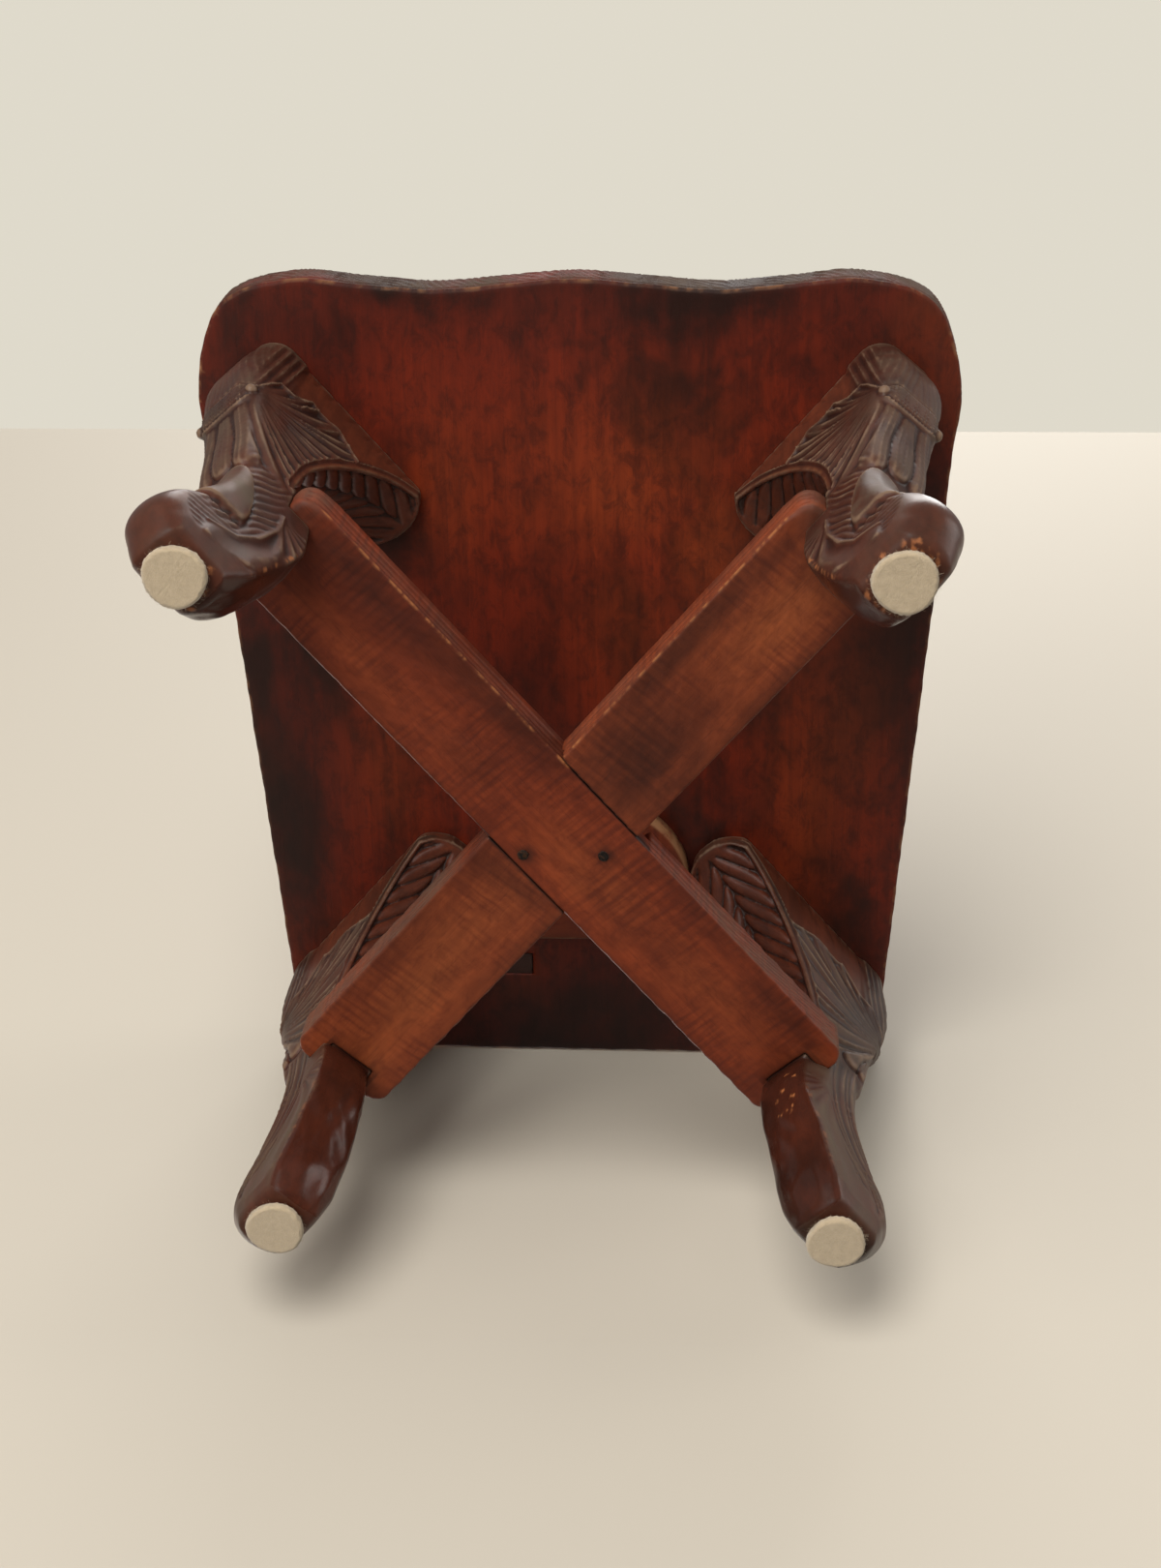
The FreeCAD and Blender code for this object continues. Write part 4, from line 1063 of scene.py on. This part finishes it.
def makeBack():
    s = backStyle
    line = backOutline()
    foot = seatTop - seatUnder
    lean, sink = math.cos(s["rake"]), math.sin(s["rake"])
    half = s["thick"] / 2

    def tenons(x, n, up):
        wide = np.maximum(np.abs(x) - s["tenonOut"], s["tenonIn"] - np.abs(x))
        return np.maximum(np.maximum(wide, np.abs(n) - s["tenonHalf"]), np.maximum(-up - 0.3, up - foot - 8))

    def rough(x, n, h):
        d, _ = outlineDistance(line[::2], x, h)
        up = h * lean - n * sink
        panel = np.maximum(np.maximum(d, np.abs(n) - half), foot - up)
        return np.minimum(panel, tenons(x, n, up))

    def leafLift(x, h, root, tip, bow, wide):  # one lobed leaf with a cut midrib and side veins
        run = np.array(tip, float) - root
        length = math.hypot(*run)
        ex, ey = run / length
        a = ((x - root[0]) * ex + (h - root[1]) * ey) / length
        c = (h - root[1]) * ex - (x - root[0]) * ey - bow * length * 4 * a * (1 - a)
        inside = np.clip(a, 0.001, 0.999)
        lobes = 1 + 0.16 * np.cos(2 * np.pi * inside * length / 17.0)
        half = wide * np.sin(np.pi * inside ** 0.85) ** 0.7 * lobes
        body = dome(c, half) ** 0.7 * (a > 0) * (a < 1)
        veins = 0.10 * np.cos(2 * np.pi * (inside * length - 0.8 * np.abs(c)) / 6.5) - 0.28 * swell(c, 1.4)
        return body * (0.72 + 0.12 * np.abs(c) / wide + veins)

    def flowerLift(x, h):  # three rings of hollowed petals round a pricked heart
        r = np.hypot(x - s["flower"][0], h - s["flower"][1])
        a = np.arctan2(h - s["flower"][1], x - s["flower"][0])
        lift = np.zeros(np.shape(x))
        for ring, (reach, count, height) in enumerate(s["petals"]):
            turn = (a / (2 * np.pi) * count + 0.5 * (ring % 2)) % 1 - 0.5
            across = turn * 2 * np.pi * np.minimum(r, reach) / count
            wide = np.pi * reach * 0.86 / count
            past = np.maximum(0, r - reach + wide)
            body = np.clip(1 - (np.hypot(across, past) / wide) ** 4, 0, 1) ** 0.5
            petal = body * (height * (0.62 + 0.38 * r / reach) + 0.13 * (across / wide) ** 2 - 0.06)
            lift = np.maximum(lift, petal * (r < reach + 1))
        heart = dome(r, s["heart"]) * (1.12 + 0.14 * np.sin(x * 1.5) * np.sin(h * 1.5))
        return np.maximum(lift, heart)

    def stemLift(x, h):  # overlapping scales up the middle
        size = s["scale"]
        half = np.interp(h, [s["stem"][0], 110, 170, s["stem"][1]], [34, 22, 12, 15])
        lift = np.zeros(np.shape(x))
        for shift in (0, 1):
            row = np.floor(h / size) + shift
            dx = (x / (size * 1.25) + 0.5 * (row % 2)) % 1 - 0.5
            dy = h - row * size
            scale = np.clip(1 - np.hypot(dx * size * 1.25, dy * 0.62) / (size * 0.66), 0, 1)
            rise = 0.30 + 0.38 * np.clip(-dy / size + 0.5, 0, 1) + 0.25 * scale
            lift = np.maximum(lift, (scale > 0) * rise)
        return lift * (np.abs(x) < half) * (h > s["stem"][0]) * (h < s["stem"][1])

    def relief(x, h, d, along):
        inner = -d - s["border"]
        sunk = soft(0, 2.0, inner) * soft(foot + 18, foot + 26, h)
        cut = -sunk * s["ground"] + sunk * 0.3 * np.sin(x * 1.35) * np.sin(h * 1.35)  # punched ground
        cut = cut + 1.0 * swell(inner + 2.2, 1.6) - 0.9 * swell(inner + 5.4, 1.1)  # bead and quirk
        cut = cut + band(-d, 1.5, s["border"] - 6.5, 1.2) * 1.1 * hollow(along / 9.0 - 0.06 * d)
        motif = stemLift(x, h) * 0.8
        for leaf in s["leaves"]:
            for side in (1, -1):
                motif = np.maximum(motif, leafLift(side * x + 1.2 * hashWave(h * 0.6, side), h, *leaf))
        motif = np.maximum(motif, leafLift(x, h, *s["topLeaf"]))
        return cut + sunk * s["relief"] * np.maximum(motif, flowerLift(x, h))

    def carved(x, n, h):
        d, along = outlineDistance(line, x, h)
        up = h * lean - n * sink
        face = np.abs(n) - half
        front = n < 0
        panel = roundMeet(d, face, np.where(front, 2.4, 3.6))
        panel = panel - np.where(front & (face > -7), relief(x, h, d, along), 0)
        panel = np.maximum(panel, foot - up)
        return np.minimum(panel, tenons(x, n, up))

    low = (-s["shoulder"] / 2 - 6, -half - 4, -6)
    high = (s["shoulder"] / 2 + 6, half + 4, foot + s["height"] + 6)
    points, faces = skin(rough, carved, low, high, s["voxel"], 7.0)
    carve = carveDepth(points, faces, 7)
    x, n, h = points.T
    d, _ = outlineDistance(line[::2], x, h)
    flat = (n > half - 0.4) & (d < -7) & (h > foot + 12)
    plain = flat[faces].all(1)
    rim = borderLoop(faces[plain])
    planed = lambda x, h, d: -0.35 * soft(0, 25, d) * (1 + hashWave(x * 3.2, 2.2))
    fill, fillFaces = fillFace(points[rim][:, [0, 2]], half, s["planed"], planed)
    offset = len(points)
    loops = [tuple(f) for f in faces[~plain]] + moved(fillFaces, offset, True)
    points = np.vstack([points, fill[:, [0, 2, 1]]])
    carve = np.concatenate([carve, np.zeros(len(fill))])
    x, n, h = points.T
    d, _ = outlineDistance(line[::2], x, h)
    front = soft(3, 6, -n)
    inTenon = soft(foot, foot - 4, h)
    marks = {
        "carve": np.where(inTenon > 0, np.minimum(carve, 0), carve), "dustAndSheen": front * soft(-14, -17, d) * 0.8 + 0.12,
        "gloss": 0.3 * (1 - front), "bare": 0 * x, "soot": 0.75 * inTenon,
        "warm": 0.5 * front * soft(60, 20, np.hypot(x, h - s["flower"][1]))}
    placed = np.stack([x, s["tenonY"] + n * lean + h * sink, seatUnder - n * sink + h * lean], 1)
    piece = makePiece("carved_back_panel", placed, loops, backWood, marks)
    weld(piece)
    return piece


back = makeBack()
dress(back, "back_wood", "back_panel")
print("back carved:", len(back.data.polygons), "faces")
seat = makeSeat()
cutMortises(seat)
dress(seat, "seat_wood", "seat_plank")
print("seat planed:", len(seat.data.polygons), "faces")


# half-round cleat ahead of the back tenons

cleatStyle = {
    "nose": 53.0, "arris": 1.6, "arcSteps": 160, "sideSteps": 20, "rearSteps": 60, "faceGrid": 6.0, "raw": 0.85,
}


def makeCleat():
    low, high = nodeBox("seat_cleat")
    s, wide, thick = cleatStyle, (high[0] - low[0]) / 2, high[2] - low[2]
    bend, arris = low[1] + s["nose"], s["arris"]
    arc = [(-wide * math.cos(a), bend - s["nose"] * math.sin(a)) for a in np.linspace(0, math.pi, s["arcSteps"])]
    side = np.linspace(bend, high[1], s["sideSteps"])
    rear = [(x, high[1]) for x in np.linspace(wide, -wide, s["rearSteps"])[1:]]
    loop = np.array(arc + [(wide, y) for y in side[1:]] + rear + [(-wide, y) for y in side[::-1][1:-1]])
    toMiddle = loop.mean(0) - loop
    toMiddle /= np.linalg.norm(toMiddle, axis=1)[:, None]
    rows = [  # inset, height and how raw the edge is
        (arris + 1.5, 0.0, 0.0), (arris, 0.0, 0.1), (arris * 0.3, arris * 0.3, 0.8), (0, arris, 1), (0, thick * 0.5, 1),
        (0, thick, 1), (2, thick, 1)]
    count, offset = len(loop), len(loop) * len(rows)
    points = [np.column_stack([loop + toMiddle * inset, np.full(count, low[2] + up)]) for inset, up, _ in rows]
    under, underFaces = fillFace(points[0][:, :2], low[2], s["faceGrid"], lambda x, y, d: 0 * x)
    faces = ringFaces(count, len(rows)) + moved(underFaces, offset, True) + [tuple(range(offset - count, offset))]
    every = np.vstack(points + [under])
    raw = np.concatenate([np.repeat([row[2] for row in rows], count), np.zeros(len(under))])
    zero = np.zeros(len(every))
    # darker towards its rear end
    soot = 0.3 * soft(120, 147, every[:, 1])
    marks = {"carve": zero, "dustAndSheen": zero, "gloss": zero, "bare": raw * s["raw"], "soot": soot, "warm": zero + 0.3}
    piece = makePiece("half_round_cleat", every, faces, cleatWood, marks)
    weld(piece)
    return piece


dress(makeCleat(), "cleat_wood", "seat_cleat")


# Geometry Nodes for what repeats: hand-driven nails and the felt's loose fibres

def nodeTree(name, sizes):
    tree = bpy.data.node_groups.new(name, "GeometryNodeTree")
    tree.interface.new_socket("Geometry", in_out="INPUT", socket_type="NodeSocketGeometry")
    for label, kind in sizes:
        tree.interface.new_socket(label, in_out="INPUT", socket_type=kind)
    tree.interface.new_socket("Geometry", in_out="OUTPUT", socket_type="NodeSocketGeometry")
    return tree, Nodes(tree), tree.nodes.new("NodeGroupInput"), tree.nodes.new("NodeGroupOutput")


def applyTree(name, points, tree, values):
    mesh = bpy.data.meshes.new(name)
    mesh.from_pydata([tuple(Vector(p) * mm) for p in points], [], [])
    carrier = addObject(name, mesh)
    modifier = carrier.modifiers.new("nodes", "NODES")
    modifier.node_group = tree
    for item in tree.interface.items_tree:
        if item.in_out == "INPUT" and item.name in values:
            modifier[item.identifier] = values[item.name]
    result = bakedMesh(carrier)
    carrier.modifiers.clear()
    carrier.data = result
    return carrier


def scatter(n, source, out, instance, spread, material):  # a copy on every point, made real and painted
    inputs = {"Points": source.outputs["Geometry"], "Instance": instance, **spread}
    real = n.add("GeometryNodeRealizeInstances", {"Geometry": n.add("GeometryNodeInstanceOnPoints", inputs)})
    n.put(out.inputs[0], n.add("GeometryNodeSetMaterial", {"Geometry": real, "Material": material}))


nailStyle = {"headRadius": 3.0, "headHeight": 1.2, "proud": 0.25, "sides": 9, "wobble": 0.0022, "seed": 11}
fullTurn = 6.283


def nailTree():
    s = nailStyle
    sizes = [("Head Radius", "NodeSocketFloat"), ("Head Height", "NodeSocketFloat")]
    tree, n, source, out = nodeTree("hand_nails", sizes)
    radius, height = (source.outputs[label] for label, _ in sizes)
    head = n.add("GeometryNodeMeshCylinder", {"Vertices": s["sides"], "Radius": radius, "Depth": height})
    place = n.add("GeometryNodeInputPosition")
    wobble = n.add("ShaderNodeTexNoise", {"Vector": place, "Scale": 260.0, "Detail": 1.0}).outputs["Color"]
    centred = n.add("ShaderNodeVectorMath", {0: wobble, 1: (0.5, 0.5, 0.5)}, operation="SUBTRACT")
    shift = n.add("ShaderNodeVectorMath", {0: centred, "Scale": s["wobble"]}, operation="SCALE")
    beaten = n.add("GeometryNodeSetPosition", {"Geometry": head, "Offset": shift})
    rounded = n.add("GeometryNodeSubdivisionSurface", {"Mesh": beaten, "Level": 2, "Edge Crease": 0.6})
    spin = n.add("FunctionNodeRandomValue", {3: fullTurn, "Seed": s["seed"]}, data_type="FLOAT")
    angle = n.add("ShaderNodeCombineXYZ", {"Z": spin.outputs[1]})
    scatter(n, source, out, rounded, {"Rotation": angle}, nailIron)
    return tree


def driveNails():
    tree = nailTree()
    values = {"Head Radius": nailStyle["headRadius"] * mm, "Head Height": nailStyle["headHeight"] * mm}
    for node, name in (("crossing_nails", "crossing_nail_heads"), ("cleat_nails", "cleat_nail_heads")):
        low, high = nodeBox(node)
        r = nailStyle["headRadius"]
        rows = [low[1] + r] if high[1] - low[1] < 3 * r else [low[1] + r, high[1] - r]
        height = low[2] + nailStyle["headHeight"] / 2 - nailStyle["proud"]
        spots = [(x, y, height) for x in (low[0] + r, high[0] - r) for y in rows]
        heads = applyTree(name, spots, tree, values)
        heads.data.shade_smooth()
        dress(heads, "nail_iron", node)


driveNails()
print("nails driven")


# felt pads with a soft arris and a fuzzy face

padStyle = {
    "round": 1.7, "around": 96, "fuzz": 0.32, "top": (0.25, 0.5, 0.75, 0.93),
    "face": (0.84, 0.78, 0.71, 0.64, 0.57, 0.5, 0.42, 0.34, 0.26, 0.18, 0.1),  # rings, as shares of the radius
    "fibres": 620, "fibreLength": 2.0, "fibreRadius": 0.03, "fibreTilt": (1.6, 0.9), "fibreScale": (0.45, 1.25),
}


def makePad(corner, seed):
    low, high = nodeBox(corner + "_felt_pad")
    cx, cy = (low[:2] + high[:2]) / 2
    radius, thick = (high[0] - low[0]) / 2, high[2] - low[2]
    rng = np.random.default_rng(seed)
    arris, turns = padStyle["round"], np.linspace(0.3, 1.57, 5)
    rows = [(radius * share, thick - 0.02) for share in padStyle["top"]]
    rows += [(radius, thick * 0.8), (radius, thick * 0.55)]
    rows += [(radius - arris * (1 - math.cos(a)), arris * (1 - math.sin(a))) for a in turns]
    rows += [(radius * share, 0.0) for share in padStyle["face"]]
    around = padStyle["around"]
    angles = np.linspace(0, 2 * math.pi, around, endpoint=False)
    points = [(cx, cy, thick - 0.02)]
    for k, (r, z) in enumerate(rows):
        fuzz = rng.normal(0, padStyle["fuzz"] * (0.5 if k > 3 else 0.1), around)
        px, py = r * np.cos(angles), r * np.sin(angles)
        pile = np.sin(px * 2.3 + seed) * np.sin(py * 2.1) + np.sin(px * 1.1 - py * 1.7) * np.sin(py * 3.1 + px) + 0.8
        lift = 0.06 * np.clip(pile, 0, 2) * soft(1, 5, r) if z < 1 else np.zeros(around)
        edge = r + (fuzz if k > 3 else 0) + 0.35 * np.sin(angles * 3 + seed) * (r > radius * 0.9)
        points += [(cx + e * math.cos(a), cy + e * math.sin(a), z + l) for e, a, l in zip(edge, angles, lift)]
    points.append((cx, cy, 0.05))
    faces = [(0, 1 + i, 1 + (i + 1) % around) for i in range(around)]
    faces += moved(ringFaces(around, len(rows)), 1)
    last = 1 + (len(rows) - 1) * around
    faces += [(last + (i + 1) % around, last + i, len(points) - 1) for i in range(around)]
    pad = makePiece(corner + "_felt_disc", points, faces, padFelt)
    weld(pad, 0)
    dress(pad, "pad_felt", corner + "_felt_pad")
    return (cx, cy, radius, thick)


def fibreTree():
    sizes = [("Length", "NodeSocketFloat"), ("Radius", "NodeSocketFloat"), ("Seed", "NodeSocketInt")]
    tree, n, source, out = nodeTree("felt_fibres", sizes)
    size, radius, seed = (source.outputs[label] for label, _ in sizes)
    middle = n.add("ShaderNodeCombineXYZ", {"X": n.times(size, 0.6), "Z": n.times(size, 0.35)})
    end = n.add("ShaderNodeCombineXYZ", {"X": size, "Y": n.times(size, 0.35)})
    bend = {"Resolution": 5, "Start": still, "Middle": middle, "End": end}
    line = n.add("GeometryNodeCurveQuadraticBezier", bend)
    ring = n.add("GeometryNodeCurvePrimitiveCircle", {"Resolution": 3, "Radius": radius}, mode="RADIUS")
    strand = n.add("GeometryNodeCurveToMesh", {"Curve": line, "Profile Curve": ring})
    (roll, pitch), (small, large) = padStyle["fibreTilt"], padStyle["fibreScale"]
    tilt = {0: (-roll, -pitch, 0.0), 1: (roll, pitch, fullTurn), "Seed": seed}
    turn = n.add("FunctionNodeRandomValue", tilt, data_type="FLOAT_VECTOR")
    scale = n.add("FunctionNodeRandomValue", {2: small, 3: large, "Seed": seed}, data_type="FLOAT")
    scatter(n, source, out, strand, {"Rotation": turn, "Scale": scale.outputs[1]}, padFelt)
    return tree


fibres = fibreTree()
for seed, corner in enumerate(corners):
    cx, cy, radius, thick = makePad(corner, seed + 3)
    rng = np.random.default_rng(seed + 20)
    angles = rng.uniform(0, 2 * math.pi, padStyle["fibres"])
    reach = radius - np.abs(rng.normal(0, 1.2, padStyle["fibres"]))
    heights = rng.uniform(0.9, thick - 1.2, padStyle["fibres"])
    roots = [(cx + r * math.cos(a), cy + r * math.sin(a), z) for r, a, z in zip(reach, angles, heights)]
    values = {"Length": padStyle["fibreLength"] * mm, "Radius": padStyle["fibreRadius"] * mm, "Seed": seed + 5}
    fluff = applyTree(corner + "_felt_fibres", roots, fibres, values)
    for vertex in fluff.data.vertices:
        vertex.co.z = max(vertex.co.z, 0.0001)
    dress(fluff, "pad_felt")
print("felt pads laid")


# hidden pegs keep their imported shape
for node in ("back_wedge_left", "back_wedge_right", *(c + "_dowels" for c in corners)):
    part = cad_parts[node]
    part.data.materials.clear()
    part.data.materials.append(rawWood)


# stage: the floor that the chair lies on in the picture, and the floor that it stands on

stageStyle = {
    "floorTone": rgb(0.56, 0.51, 0.43), "floorMarks": rgb(0.56, 0.50, 0.42), "rough": 0.7, "wallAt": 1465.0,
    "reach": 6.0, "lyingFade": (2.2, 3.6), "standingFade": (1.0, 2.4), "wallTone": rgb(0.74, 0.70, 0.60),
    "roomTone": rgb(1.0, 0.98, 0.95), "roomLight": 0.30,
}


def stageMaterial(name, fade):  # seen only from its face, by eye and in reflections, so that it never blocks the light
    material, n, shader = newMaterial(name)
    tone = n.noise((3, 3, 3), still, 3.0)
    colour = n.blend(n.times(tone, 0.12), stageStyle["floorTone"], stageStyle["floorMarks"])
    n.fill(shader, {"Base Color": colour, "Roughness": stageStyle["rough"]})
    path = n.add("ShaderNodeLightPath")
    seen = n.maths("MAXIMUM", path.outputs["Is Camera Ray"], path.outputs["Is Glossy Ray"])
    facing = n.minus(1.0, n.add("ShaderNodeNewGeometry").outputs["Backfacing"])
    place = n.add("ShaderNodeTexCoord").outputs["Object"]
    spread = n.add("ShaderNodeVectorMath", {0: place}, operation="LENGTH").outputs["Value"]
    shown = n.times(n.times(seen, facing), n.minus(1.0, n.ramp(spread, *fade)))
    mix = n.add("ShaderNodeMixShader", {0: shown, 1: n.add("ShaderNodeBsdfTransparent"), 2: shader})
    n.put(material.node_tree.nodes["Material Output"].inputs["Surface"], mix)
    return material


def stagePlane(name, outline, fade):
    mesh = bpy.data.meshes.new(name)
    mesh.from_pydata(outline, [], [tuple(range(len(outline)))])
    mesh.materials.append(stageMaterial(name, fade))
    plane = addObject(name, mesh)


reach = stageStyle["reach"]
behind = (seatHigh[1] + 0.4) * mm
wall = stageStyle["wallAt"] * mm
lying = [(-reach, behind, -reach), (reach, behind, -reach), (reach, behind, wall), (-reach, behind, wall)]
stagePlane("lying_floor", lying, stageStyle["lyingFade"])
standing = [(x * reach, y * reach, -0.0004) for x, y in ((-1, -1), (1, -1), (1, 1), (-1, 1))]
stagePlane("standing_floor", standing, stageStyle["standingFade"])


# light and camera

def softBox(name, place, target, size, watts, tone):
    lamp = bpy.data.lights.new(name, "AREA")
    lamp.shape, lamp.size, lamp.energy, lamp.color = "DISK", size, watts, tone
    box = addObject(name, lamp)
    box.location = place
    box.rotation_euler = (Vector(target) - Vector(place)).to_track_quat("-Z", "Y").to_euler()
    box.visible_camera = False


lampStyle = {  # place, size in metres, watts and tone
    "front_ceiling": ((-0.7, -3.3, -1.3), 2.4, 105, (1.0, 0.98, 0.94)),
    "low_left_fill": ((-1.3, -1.8, -2.6), 2.0, 52, (1.0, 0.97, 0.92)),
    "overhead": ((0.3, -0.7, 3.5), 2.2, 80, (1.0, 0.98, 0.95)),
    "right_fill": ((3.1, -1.0, 1.2), 2.0, 27, (1.0, 0.97, 0.92)),
    "rear_soft": ((-1.7, 3.1, 1.6), 2.2, 85, (1.0, 0.97, 0.93)),
}
lampAim = (0, 0, 0.2)
for name, (place, size, watts, tone) in lampStyle.items():
    softBox(name, place, lampAim, size, watts, tone)


def roomLight():
    world = bpy.data.worlds.new("room")
    scene.world = world
    world.use_nodes = True
    n = Nodes(world.node_tree)
    path = n.add("ShaderNodeLightPath")
    light = n.add("ShaderNodeBackground", {"Color": stageStyle["roomTone"], "Strength": stageStyle["roomLight"]})
    shown = n.add("ShaderNodeBackground", {"Color": stageStyle["wallTone"], "Strength": 1.0})
    mix = n.add("ShaderNodeMixShader", {0: path.outputs["Is Camera Ray"], 1: light, 2: shown})
    n.put(world.node_tree.nodes["World Output"].inputs["Surface"], mix)


roomLight()

cameraStyle = {  # fitted to the picture: place in millimetres, right and up directions, focal length in picture pixels
    "place": (82.0, -525.3, -920.5), "right": (0.9979, 0.0162, 0.0623), "up": (-0.0128, -0.8983, 0.4393),
    "focal": 2440.0, "pictureHeight": 1620.0, "sensor": 36.0,
}


def makeCamera():
    s = cameraStyle
    data = bpy.data.cameras.new("camera")
    data.sensor_width = s["sensor"]
    data.lens = s["focal"] * s["sensor"] / s["pictureHeight"]
    data.clip_start, data.clip_end = 0.05, 60.0
    camera = addObject("camera", data)
    right, up = Vector(s["right"]).normalized(), Vector(s["up"]).normalized()
    back = right.cross(up).normalized()
    up = back.cross(right)
    turned = Matrix((right, up, back)).transposed().to_4x4()
    camera.matrix_world = Matrix.Translation(Vector(s["place"]) * mm) @ turned
    scene.camera = camera


makeCamera()
scene.view_settings.view_transform = "Standard"
print("scene ready")
